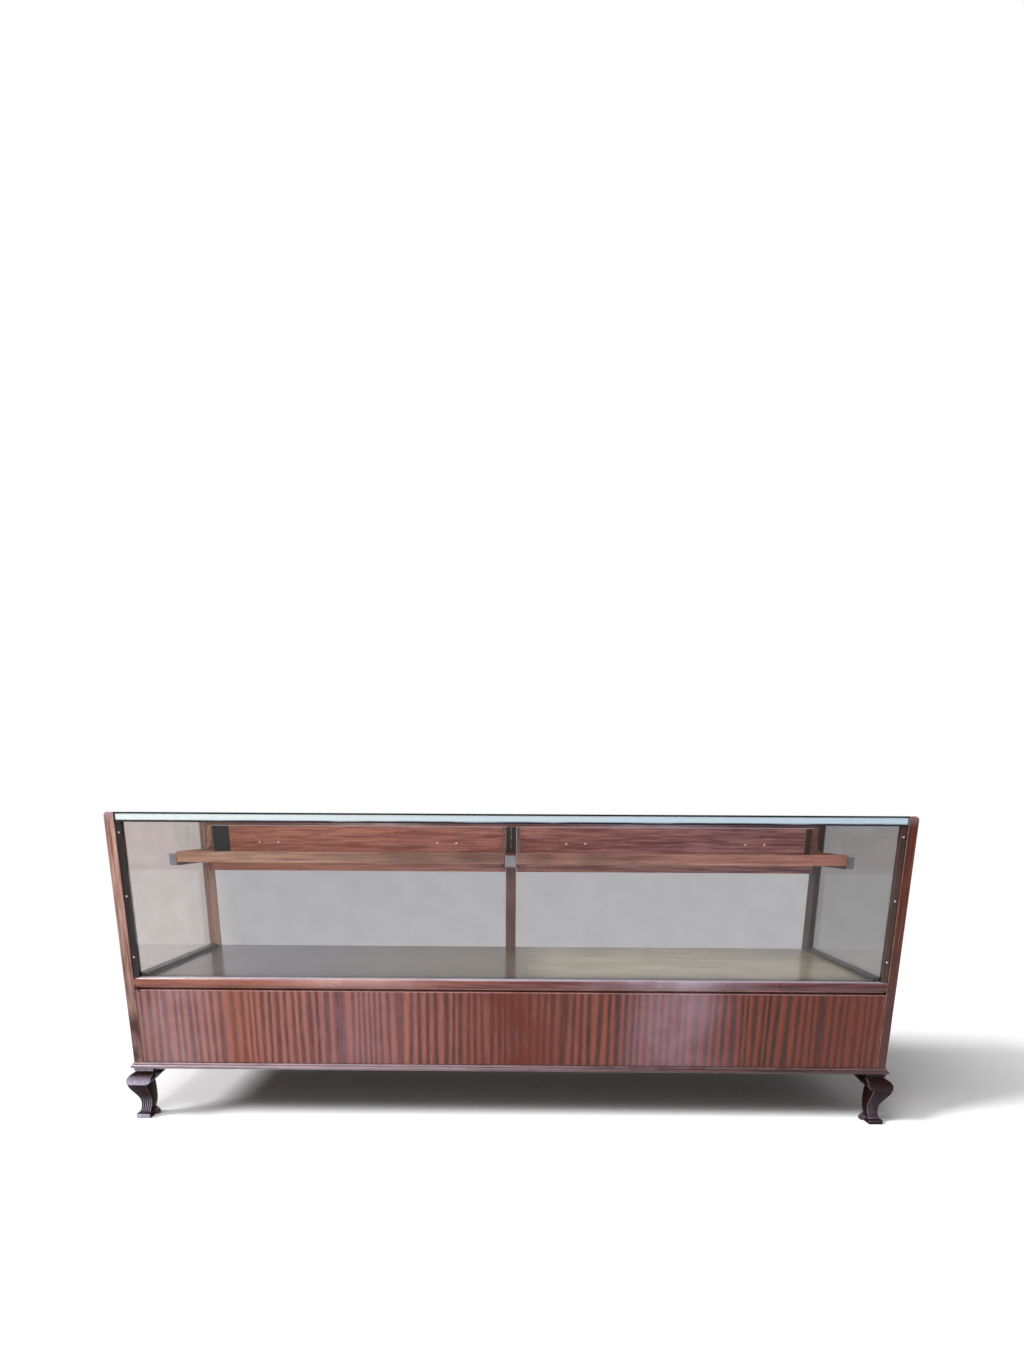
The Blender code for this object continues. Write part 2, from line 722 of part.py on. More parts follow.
def build_wings(name, corner, side_x, side_y):
    """Two small brackets under the carcase, one along the front and one along the end."""
    top = FOOT_HEIGHT
    root = KNEE_IN + WING_ROOT
    tip = KNEE_IN - WING_LENGTH
    edge = top - WING_EDGE
    outline = [(root, top), (tip, top)]
    for step in range(CORNER_STEPS + 1):
        t = step / CORNER_STEPS
        sag = 4 * WING_SAG * t * (1 - t)
        outline.append((tip + WING_LENGTH * t, edge - WING_HEIGHT * t + sag))
    outline.append((root, edge - WING_HEIGHT))
    low = -WING_SETBACK - WING_THICKNESS
    high = -WING_SETBACK
    along_x = [(corner.x + side_x * across, up) for across, up in outline]
    span_y = sorted((corner.y + side_y * low, corner.y + side_y * high))
    along_y = [(corner.y + side_y * across, up) for across, up in outline]
    span_x = sorted((corner.x + side_x * low, corner.x + side_x * high))
    return (
        make_prism(f"{name}_wing_x", along_x, 'Y', *span_y, CUTTERS),
        make_prism(f"{name}_wing_y", along_y, 'X', *span_x, CUTTERS),
    )


def build_feet():
    """The four feet."""
    for end_label, side_y in (("front", -1), ("back", 1)):
        for label, side_x in SIDES:
            build_foot(f"foot_{end_label}_{label}", side_x, side_y)


def build_glass():
    """Front, end and top panes."""
    box_part(
        "front_glass",
        (-INFILL_OUTER, INFILL_OUTER),
        (FRONT_GLASS_FACE, FRONT_GLASS_BACK),
        (GLASS_SEAT, GLASS_TOP),
        GLASS,
        GLASS_EDGE,
    )
    for label, side in SIDES:
        box_part(
            f"end_glass_{label}",
            mirrored(side, END_GLASS_INNER, END_GLASS_OUTER),
            (END_GLASS_FRONT, END_GLASS_BACK),
            (GLASS_SEAT, GLASS_TOP),
            GLASS,
            GLASS_EDGE,
        )
    box_part(
        "top_glass",
        (-INFILL_OUTER, INFILL_OUTER),
        (FRONT, BACK),
        (TOP_SEAT + GAP, HEIGHT),
        GLASS,
        GLASS_EDGE,
    )


def build_top_strips():
    """The metal angle over the front glass and the lighter angles over the end glass."""
    wall_front = FRONT + STRIP_SETBACK
    wall_back = FRONT_GLASS_FACE - GAP
    flange_back = FRONT + STRIP_FLANGE_DEPTH
    flange_underside = TOP_SEAT - STRIP_FLANGE_THICKNESS
    underside = TOP_SEAT - STRIP_HEIGHT
    outline = [
        (wall_front, underside),
        (wall_back, underside),
        (wall_back, flange_underside),
        (flange_back, flange_underside),
        (flange_back, TOP_SEAT),
        (wall_front, TOP_SEAT),
    ]
    front = make_prism("top_strip_front", outline, 'X', -INFILL_OUTER, INFILL_OUTER)
    finish_part(front, NICKEL, METAL_EDGE, 1)
    wall_inner = END_GLASS_OUTER + GAP
    wall_outer = wall_inner + END_STRIP_WALL
    flange_inner = wall_outer - STRIP_FLANGE_DEPTH
    for label, side in SIDES:
        outline = [
            (wall_inner, underside),
            (wall_outer, underside),
            (wall_outer, TOP_SEAT),
            (flange_inner, TOP_SEAT),
            (flange_inner, flange_underside),
            (wall_inner, flange_underside),
        ]
        outline = [(side * across, up) for across, up in outline]
        name = f"top_strip_{label}"
        strip = make_prism(name, outline, 'Y', flange_back + GAP, END_GLASS_BACK)
        finish_part(strip, NICKEL, METAL_EDGE, 1)


def build_beads():
    """The dark corner beads in front of the front glass, and the beads at the end glass."""
    for label, side in SIDES:
        box_part(
            f"corner_bead_{label}",
            mirrored(side, INFILL_OUTER - CORNER_BEAD_WIDTH, INFILL_OUTER),
            (FRONT + CORNER_BEAD_SETBACK, FRONT_GLASS_FACE - GAP),
            (GLASS_SEAT, TOP_SEAT - STRIP_HEIGHT - GAP),
            BLACK_BEAD,
        )
        box_part(
            f"end_bead_{label}",
            mirrored(side, ARM_OUTER - END_BEAD_WIDTH, ARM_OUTER),
            (END_GLASS_FRONT, END_GLASS_BACK),
            (GLASS_SEAT, GLASS_SEAT + END_BEAD_HEIGHT),
            BLACK_BEAD,
        )


def build_arms():
    """Three cantilever arms and the four runners that the trays slide on."""
    levels = (ARM_UNDERSIDE, ARM_UNDERSIDE + ARM_HEIGHT)
    box_part(
        "tray_arm_centre",
        (-CENTRE_HALF, CENTRE_HALF),
        (TRAY_FRONT, CENTRE_POST_FRONT - GAP),
        levels,
        MAHOGANY,
    )
    runner_levels = (ARM_UNDERSIDE, RUNNER_TOP)
    runner_run = (TRAY_FRONT, TRAY_BOARD_FRONT - 2 * GAP)
    for label, side in SIDES:
        box_part(
            f"tray_arm_{label}",
            mirrored(side, ARM_INNER, ARM_OUTER),
            (TRAY_FRONT, POST_FRONT - GAP),
            levels,
            MAHOGANY,
        )
        box_part(
            f"tray_runner_{label}_outer",
            mirrored(side, TRAY_OUTER - RUNNER_BEARING, TRAY_WAY_OUTER - GAP),
            runner_run,
            runner_levels,
            DARK_MAHOGANY,
        )
        box_part(
            f"tray_runner_{label}_inner",
            mirrored(side, CENTRE_HALF + GAP, TRAY_INNER + RUNNER_BEARING),
            runner_run,
            runner_levels,
            DARK_MAHOGANY,
        )


def tray_side_outline():
    """A tray side: low along the tray, swept up to meet the rear board."""
    front = TRAY_FRONT + TRAY_LIP_THICKNESS + GAP
    back = TRAY_BOARD_FRONT - GAP
    bottom = TRAY_BOTTOM_LEVEL
    low_top = bottom + TRAY_SIDE_HEIGHT
    high_top = BACK_TOP_RAIL_UNDERSIDE - TRAY_CLEARANCE
    sweep_top = back - TRAY_SIDE_HEAD
    radius = TRAY_SWEEP_RADIUS
    sweep_centre = (sweep_top - radius, low_top + radius)
    sweep = arc(sweep_centre, (radius, radius), 0, -90, SWEEP_STEPS)
    return [(front, bottom), (back, bottom), (back, high_top), (sweep_top, high_top)] + sweep + [
        (front, low_top)
    ]


def bolt_places(side):
    """X and Z of the four handle bolts of one tray, as two pairs."""
    middle = side * (TRAY_OUTER + TRAY_INNER) / 2
    level = TRAY_BOTTOM_LEVEL + HANDLE_HEIGHT
    pairs = []
    for handle_side in (-1, 1):
        centre = middle + handle_side * HANDLE_OFFSET
        pairs.append([(centre - HANDLE_PITCH / 2, level), (centre + HANDLE_PITCH / 2, level)])
    return pairs


def build_tray(label, side):
    """One tray: rear board, lip, two sides, floor and two bow handles."""
    name = f"tray_{label}"
    board = box_part(
        f"{name}_board",
        mirrored(side, CENTRE_HALF + TRAY_CLEARANCE, POST_INNER - TRAY_CLEARANCE),
        (TRAY_BOARD_FRONT, TRAY_BOARD_BACK),
        (TRAY_BOTTOM_LEVEL - TRAY_BOARD_DROP, BACK_TOP_RAIL_UNDERSIDE - TRAY_CLEARANCE),
        BOARD_VENEER,
    )
    lip_back = TRAY_FRONT + TRAY_LIP_THICKNESS
    lip = box_part(
        f"{name}_lip",
        mirrored(side, TRAY_INNER, TRAY_OUTER),
        (TRAY_FRONT, lip_back),
        (TRAY_BOTTOM_LEVEL, TRAY_BOTTOM_LEVEL + TRAY_SIDE_HEIGHT),
        TRAY_WOOD,
    )
    wall = TRAY_SIDE_THICKNESS
    floor_level = TRAY_BOTTOM_LEVEL + TRAY_FLOOR_RISE
    floor = box_part(
        f"{name}_floor",
        mirrored(side, TRAY_INNER + wall + GAP, TRAY_OUTER - wall - GAP),
        (lip_back + GAP, TRAY_BOARD_FRONT - GAP),
        (floor_level, floor_level + TRAY_FLOOR_THICKNESS),
        TRAY_WOOD,
        edge=0.0,
    )
    pieces = [board, lip, floor]
    for place, low in (("outer", TRAY_OUTER - wall), ("inner", TRAY_INNER)):
        run = mirrored(side, low, low + wall)
        tray_side = make_prism(f"{name}_side_{place}", tray_side_outline(), 'X', *run)
        pieces.append(finish_part(tray_side, TRAY_WOOD, 0.0))
    for number, pair in enumerate(bolt_places(side), start=1):
        pieces.append(build_handle(f"{name}_handle_{number}", pair))
        for bolt_number, place in enumerate(pair, start=1):
            hole = make_bolt_hole(f"{name}_hole_{number}_{bolt_number}", place)
            combine(board, hole, 'DIFFERENCE')
    way = Vector((side * (TRAY_INNER + TRAY_OUTER) / 2, TRAY_FRONT, RUNNER_TOP))
    carry(f"{name}_slide", way, pieces)


def carry(name, place, pieces):
    """Hang the pieces of a moving body from an empty on its way."""
    carrier = bpy.data.objects.new(name, None)
    carrier.location = place
    PARTS.objects.link(carrier)
    for piece in pieces:
        piece.parent = carrier
        piece.matrix_parent_inverse = carrier.matrix_basis.inverted()


def make_bolt_hole(name, place):
    """A round cutter along Y, right through a tray's rear board."""
    centre = Vector((place[0], (TRAY_BOARD_FRONT + TRAY_BOARD_BACK) / 2, place[1]))
    mesh = bpy.data.meshes.new(name)
    shape = bmesh.new()
    bmesh.ops.create_cone(
        shape,
        cap_ends=True,
        segments=ROUND_SIDES,
        radius1=BOLT_RADIUS + BOLT_CLEARANCE,
        radius2=BOLT_RADIUS + BOLT_CLEARANCE,
        depth=2 * TRAY_BOARD_THICKNESS,
        matrix=Matrix.Translation(centre) @ Matrix.Rotation(math.pi / 2, 4, 'X'),
    )
    shape.to_mesh(mesh)
    shape.free()
    hole = bpy.data.objects.new(name, mesh)
    CUTTERS.objects.link(hole)
    return hole


def bolt_profile():
    """Radius and Y down the side of a rosette, its bolt through the board, and the nut."""
    base = TRAY_BOARD_BACK + GAP
    nut_back = TRAY_BOARD_FRONT - GAP
    return [
        (0.0, base + ROSETTE_THICKNESS),
        (ROSETTE_CROWN_RADIUS, base + ROSETTE_THICKNESS),
        (ROSETTE_RADIUS, base + ROSETTE_RIM),
        (ROSETTE_RADIUS, base),
        (BOLT_RADIUS, base),
        (BOLT_RADIUS, nut_back),
        (NUT_RADIUS, nut_back),
        (NUT_RADIUS, nut_back - NUT_THICKNESS),
        (0.0, nut_back - NUT_THICKNESS),
    ]


def make_turning(name, profile, place):
    """A turned solid whose axis runs along Y, from a profile of radius and Y."""
    mesh = bpy.data.meshes.new(name)
    shape = bmesh.new()
    verts = [shape.verts.new((radius, 0.0, along)) for radius, along in profile]
    for start, end in zip(verts, verts[1:]):
        shape.edges.new((start, end))
    shape.to_mesh(mesh)
    shape.free()
    turning = bpy.data.objects.new(name, mesh)
    turning.location = (place[0], 0.0, place[1])
    turning.rotation_euler = (-math.pi / 2, 0.0, 0.0)
    CUTTERS.objects.link(turning)
    screw = turning.modifiers.new("turned", 'SCREW')
    screw.steps = ROUND_SIDES
    screw.render_steps = ROUND_SIDES
    screw.use_merge_vertices = True
    screw.merge_threshold = WELD_DISTANCE
    return turning


def build_handle(name, pair):
    """A bow handle with its two rosettes, through bolts and nuts, as one piece."""
    (low_x, level), (high_x, _) = pair
    base = TRAY_BOARD_BACK + GAP
    crown = base + HANDLE_REACH
    bend = HANDLE_BEND
    radii = (bend, bend)
    curve = bpy.data.curves.new(name, 'CURVE')
    curve.dimensions = '3D'
    curve.bevel_depth = HANDLE_ROD_RADIUS
    curve.bevel_resolution = ROD_STEPS
    curve.use_fill_caps = True
    spline = curve.splines.new('POLY')
    left_bend = arc((low_x + bend, crown - bend), radii, 180, 90, HANDLE_BEND_STEPS)
    right_bend = arc((high_x - bend, crown - bend), radii, 90, 0, HANDLE_BEND_STEPS)
    start = base + ROSETTE_THICKNESS / 2
    route = [(low_x, start)] + left_bend + right_bend + [(high_x, start)]
    spline.points.add(len(route) - 1)
    for point, (across, back) in zip(spline.points, route):
        point.co = (across, back, level, 1.0)
    bow = bpy.data.objects.new(name, curve)
    PARTS.objects.link(bow)
    handle = solid_from_curve(bow, PARTS)
    for number, place in enumerate(pair, start=1):
        fixing = make_turning(f"{name}_fixing_{number}", bolt_profile(), place)
        combine(handle, fixing, 'UNION')
    return finish_part(handle, BRASS, 0.0)


def track_outline(seat, height, groove_depth, upwards):
    """A grooved track's (Y, Z) outline, with its grooves facing up or down."""
    half = DOOR_THICKNESS / 2 + TRACK_SIDE_CLEARANCE
    face = seat + upwards * height
    bed = face - upwards * groove_depth
    outline = [(TRACK_FRONT, seat), (TRACK_FRONT, face)]
    for middle in (INNER_DOOR_MIDDLE, OUTER_DOOR_MIDDLE):
        low = middle - half
        high = middle + half
        outline += [(low, face), (low, bed), (high, bed), (high, face)]
    return outline + [(TRACK_BACK, face), (TRACK_BACK, seat)]


def build_doors():
    """Two sliding doors in grooved tracks, each with a batten to pull it by."""
    reach = (-DECK_OUTER, DECK_OUTER)
    bottom = track_outline(BOTTOM_TRACK_SEAT, BOTTOM_TRACK_HEIGHT, BOTTOM_GROOVE_DEPTH, 1)
    top = track_outline(TOP_TRACK_SEAT, TOP_TRACK_HEIGHT, TOP_GROOVE_DEPTH, -1)
    finish_part(make_prism("door_track_bottom", bottom, 'X', *reach), DARK_MAHOGANY, 0.0)
    finish_part(make_prism("door_track_top", top, 'X', *reach), DARK_MAHOGANY, 0.0)
    foot = BOTTOM_TRACK_SEAT + BOTTOM_TRACK_HEIGHT - BOTTOM_GROOVE_DEPTH + GAP
    head = TOP_TRACK_SEAT - TOP_TRACK_HEIGHT + TOP_GROOVE_DEPTH - DOOR_LIFT
    pull_foot = BOTTOM_TRACK_SEAT + BOTTOM_TRACK_HEIGHT + PULL_MARGIN
    pull_head = TOP_TRACK_SEAT - TOP_TRACK_HEIGHT - PULL_MARGIN
    for (label, side), middle in zip(SIDES, (OUTER_DOOR_MIDDLE, INNER_DOOR_MIDDLE)):
        name = f"door_{label}"
        back = middle + DOOR_THICKNESS / 2
        door = make_box(
            name,
            mirrored(side, -DOOR_OVERLAP / 2, DOOR_OUTER),
            (middle - DOOR_THICKNESS / 2, back),
            (foot, head),
        )
        pull = make_box(
            f"{name}_pull",
            mirrored(side, DOOR_OUTER - PULL_INSET - PULL_WIDTH, DOOR_OUTER - PULL_INSET),
            (back - PULL_THICKNESS, back + PULL_THICKNESS),
            (pull_foot, pull_head),
            CUTTERS,
        )
        combine(door, pull, 'UNION')
        finish_part(door, BOARD_VENEER, 0.0)


def main():
    """Build every piece of the counter."""
    for label, side in SIDES:
        build_stile(label, side)
        build_back_post(label, side)
        build_end_mid_rail(label, side)
        build_tray(label, side)
    build_centre_post()
    build_front_mid_rail()
    build_back_rails()
    build_carcase()
    build_base_moulding()
    build_feet()
    build_glass()
    build_top_strips()
    build_beads()
    build_arms()
    build_doors()


main()
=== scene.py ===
"""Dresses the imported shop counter: its finishes, turned and carved pieces, studio and camera.

Metres, +Z up. X runs along the counter, the customer's side faces -Y, and the origin is on
the floor under the middle of the counter.
"""

import logging
import math
from collections.abc import Callable, Iterator
from dataclasses import dataclass
from enum import Enum
from functools import cache
from typing import Any

import bmesh
import bpy
from mathutils import Matrix, Vector


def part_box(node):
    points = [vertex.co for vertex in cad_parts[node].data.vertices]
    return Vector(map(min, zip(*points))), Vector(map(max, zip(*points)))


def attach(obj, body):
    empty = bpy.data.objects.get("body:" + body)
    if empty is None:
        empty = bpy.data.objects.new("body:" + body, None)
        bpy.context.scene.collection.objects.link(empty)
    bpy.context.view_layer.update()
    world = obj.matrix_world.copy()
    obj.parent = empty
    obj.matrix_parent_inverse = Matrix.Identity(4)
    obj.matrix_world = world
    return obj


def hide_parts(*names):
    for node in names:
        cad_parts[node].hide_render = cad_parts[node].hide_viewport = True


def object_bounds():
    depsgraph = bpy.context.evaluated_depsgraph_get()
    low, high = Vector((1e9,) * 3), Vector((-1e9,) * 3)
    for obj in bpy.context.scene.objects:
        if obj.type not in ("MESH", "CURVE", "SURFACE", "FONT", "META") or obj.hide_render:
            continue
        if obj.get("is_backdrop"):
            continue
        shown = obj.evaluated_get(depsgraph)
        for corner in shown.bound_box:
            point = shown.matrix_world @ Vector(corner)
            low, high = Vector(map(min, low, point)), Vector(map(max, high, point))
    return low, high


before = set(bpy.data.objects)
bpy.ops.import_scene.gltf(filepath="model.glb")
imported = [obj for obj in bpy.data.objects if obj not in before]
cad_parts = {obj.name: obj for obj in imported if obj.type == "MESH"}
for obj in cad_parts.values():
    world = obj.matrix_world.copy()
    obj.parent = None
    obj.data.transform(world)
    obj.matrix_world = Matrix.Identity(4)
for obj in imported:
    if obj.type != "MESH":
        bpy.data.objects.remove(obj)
CAD_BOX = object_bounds()

LOG = logging.getLogger("shop_counter")

Tone = tuple[float, float, float, float]
Point = tuple[float, float, float]
Socket = bpy.types.NodeSocket

# The outer faces of the stiles and posts, the back of the tray boards, and the gap between pieces
HALF_LENGTH = 1.143
BACK = 0.275
BOARD_BACK = 0.2642
GAP = 0.0003
ENDS = (("left", -1), ("right", 1))

# Points nearer than this count as level with each other, and points nearer than a weld as one
HAIR = 0.0001
WELD = 0.00001

# Faces that meet at a blunter angle than this are flat, and edges of turned pieces are shaded
# smoothly up to this angle
FLAT_DEGREES = 0.5
TURNED_DEGREES = 40.0

# A face looks along a way when the cosine between them is over this, or within about 25 degrees
ALONG = 0.9

# Half of the width of a driver's slot
SLOT_HALF_WIDTH = 0.0004

# A rod turned to lie from front to back, and the ways that faces look
LYING = (math.pi / 2, 0.0, 0.0)
TO_FRONT = (0.0, -1.0, 0.0)
TO_BACK = (0.0, 1.0, 0.0)
TO_FLOOR = (0.0, 0.0, -1.0)

# Settings that many nodes share. A Mix of numbers takes its inputs 0, 2 and 3 and gives output 0,
# and a Mix of colours takes its inputs 0, 6 and 7 and gives output 2
SMOOTH = {"interpolation_type": 'SMOOTHSTEP'}
COLOUR = {"data_type": 'RGBA'}
WHITE = (1.0, 1.0, 1.0, 1.0)


def tone(code: str) -> Tone:
    """Turn an sRGB hex colour into linear red, green, blue and alpha.

    Args:
        code: Six hex digits, with or without a leading hash.

    Returns:
        The linear colour with an alpha of one.
    """
    digits = code.lstrip("#")
    parts = [int(digits[start:start + 2], 16) / 255 for start in (0, 2, 4)]
    linear = [part / 12.92 if part <= 0.04045 else ((part + 0.055) / 1.055) ** 2.4 for part in parts]
    return (linear[0], linear[1], linear[2], 1.0)


def per_mm(size: float) -> float:
    """The scale that gives a pattern this size in millimetres, on coordinates in metres."""
    return 1000.0 / size


class Nodes:
    """A node tree that is filled one node at a time."""

    def __init__(self, tree: bpy.types.NodeTree) -> None:
        """Take over a tree and empty it."""
        self.tree = tree
        tree.nodes.clear()

    def add(
        self, kind: str, output: str | int | None, inputs: dict[str | int, Any] | None = None,
        **settings: Any,
    ) -> Socket | None:
        """Add a shader node, with its settings, values and links.

        Args:
            kind: The node's type without its leading "ShaderNode".
            output: The output that is wanted, by name or number, or None for an end node.
            inputs: For each input, by name or number, a value or the socket that feeds it.
            settings: Values of the node's own properties.

        Returns:
            The socket of the wanted output, or None for an end node.
        """
        node = self.tree.nodes.new(f"ShaderNode{kind}")
        for name, value in settings.items():
            setattr(node, name, value)
        for key, value in (inputs or {}).items():
            socket = node.inputs[key]
            if isinstance(value, Socket):
                self.tree.links.new(value, socket)
            else:
                socket.default_value = value
        return None if output is None else node.outputs[output]

    def seen_straight(self) -> Socket:
        """Tell what is seen straight or through glass from what only lights or is mirrored.

        Returns:
            1 for what is seen straight or through glass, and 0 after a bounce.
        """
        diffuse = self.add("LightPath", "Diffuse Depth")
        glossy = self.add("LightPath", "Glossy Depth")
        bounces = self.add("Math", 0, {0: diffuse, 1: glossy}, operation='ADD', use_clamp=True)
        return self.add("Math", 0, {0: 1.0, 1: bounces}, operation='SUBTRACT')


@dataclass(frozen=True)
class Patch:
    """A part of a board with another tone, strongest at its middle and gone at its ends."""

    middle: float
    reach: float
    colour: str
    strength: float
    axis: str = "X"


class Surface(Nodes):
    """A material in the making, drawn on its Object coordinates, which are its place."""

    def __init__(self, name: str) -> None:
        """Start a material with an empty tree.

        Args:
            name: The material's name.
        """
        self.material = bpy.data.materials.new(name)
        self.material.use_nodes = True
        super().__init__(self.material.node_tree)
        self.place = self.add("TexCoord", "Object")

    def finish(self, shader: Socket) -> bpy.types.Material:
        """Show a shader, and give the finished material."""
        self.add("OutputMaterial", None, {"Surface": shader})
        return self.material

    def along_counter(self, span: tuple[float, float], **settings: Any) -> Socket:
        """Measure how far along the counter a point is.

        Args:
            span: The places along X where the measure starts and ends.
            settings: Whether it rises evenly or smoothly.

        Returns:
            A value from 0, left of the span, to 1, right of it.
        """
        across = self.add("SeparateXYZ", "X", {0: self.place})
        return self.add(
            "MapRange", "Result",
            {"Value": across, "From Min": span[0], "From Max": span[1]}, **settings,
        )

    def between_ends(
        self, span: tuple[float, float], colours: tuple[str, str], **settings: Any,
    ) -> Socket:
        """Turn one colour into another along the counter.

        Args:
            span: The places along X where the turn starts and ends.
            colours: The colours at the left and at the right.
            settings: Whether it turns evenly or smoothly.

        Returns:
            The colour.
        """
        along = self.along_counter(span, **settings)
        return self.add("Mix", 2, {0: along, 6: tone(colours[0]), 7: tone(colours[1])}, **COLOUR)

    def worn_and_sheened_arrises(self, strength: float, reach: float = 0.0022) -> Socket:
        """Find the arrises, where the polish is worn off and a painted highlight catches them.

        Args:
            strength: The most pale tone laid on, from worn polish and painted highlight.
            reach: How far from an arris the pale band goes.

        Returns:
            A value from 0, sound polish, to the strength, on the arrises.
        """
        flat = self.add("NewGeometry", "Normal")
        rounded = self.add("Bevel", "Normal", {"Radius": reach}, samples=4)
        alike = self.add("VectorMath", "Value", {0: flat, 1: rounded}, operation='DOT_PRODUCT')
        edge = self.add(
            "MapRange", "Result",
            {"Value": alike, "From Min": 0.995, "From Max": 0.90, "To Max": strength},
        )
        patchy = self.add(
            "TexNoise", "Fac", {"Vector": self.place, "Scale": per_mm(45), "Detail": 3.0},
        )
        share = self.add(
            "MapRange", "Result", {"Value": patchy, "From Min": 0.35, "From Max": 0.60, "To Min": 0.35},
        )
        return self.add("Math", 0, {0: edge, 1: share}, operation='MULTIPLY', use_clamp=True)

    def lay_patches(self, body: Socket, patches: tuple[Patch, ...]) -> Socket:
        """Lay each cloudy patch of another tone over a colour: painted highlights, reflections and
        shade, and darker or paler tones of the surface.

        Args:
            body: The colour without patches.
            patches: The patches, the first one undermost.

        Returns:
            The colour with its patches.
        """
        if not patches:
            return body
        clouds = self.add(
            "TexNoise", "Fac", {"Vector": self.place, "Scale": per_mm(110), "Detail": 3.0},
        )
        share = self.add(
            "MapRange", "Result",
            {"Value": clouds, "From Min": 0.30, "From Max": 0.66, "To Min": 0.45}, **SMOOTH,
        )
        for patch in patches:
            place = self.add("SeparateXYZ", patch.axis, {0: self.place})
            offset = self.add("Math", 0, {0: place, 1: patch.middle}, operation='SUBTRACT')
            away = self.add("Math", 0, {0: offset}, operation='ABSOLUTE')
            near = self.add(
                "MapRange", "Result",
                {"Value": away, "From Min": patch.reach, "From Max": 0.0, "To Max": patch.strength},
                **SMOOTH,
            )
            amount = self.add("Math", 0, {0: near, 1: share}, operation='MULTIPLY')
            body = self.add("Mix", 2, {0: amount, 6: body, 7: tone(patch.colour)}, **COLOUR)
        return body


class Grain(Enum):
    """The way the grain runs, as the stretch of a pattern along X, Y and Z."""

    ALONG_X = (0.05, 1.0, 1.0)
    ALONG_Y = (1.0, 0.05, 1.0)
    ALONG_Z = (1.0, 1.0, 0.05)


class Facing(Enum):
    """The way a flat pane looks, as its normal."""

    SIDEWAYS = (1.0, 0.0, 0.0)
    FORWARDS = (0.0, 1.0, 0.0)
    UPWARDS = (0.0, 0.0, 1.0)


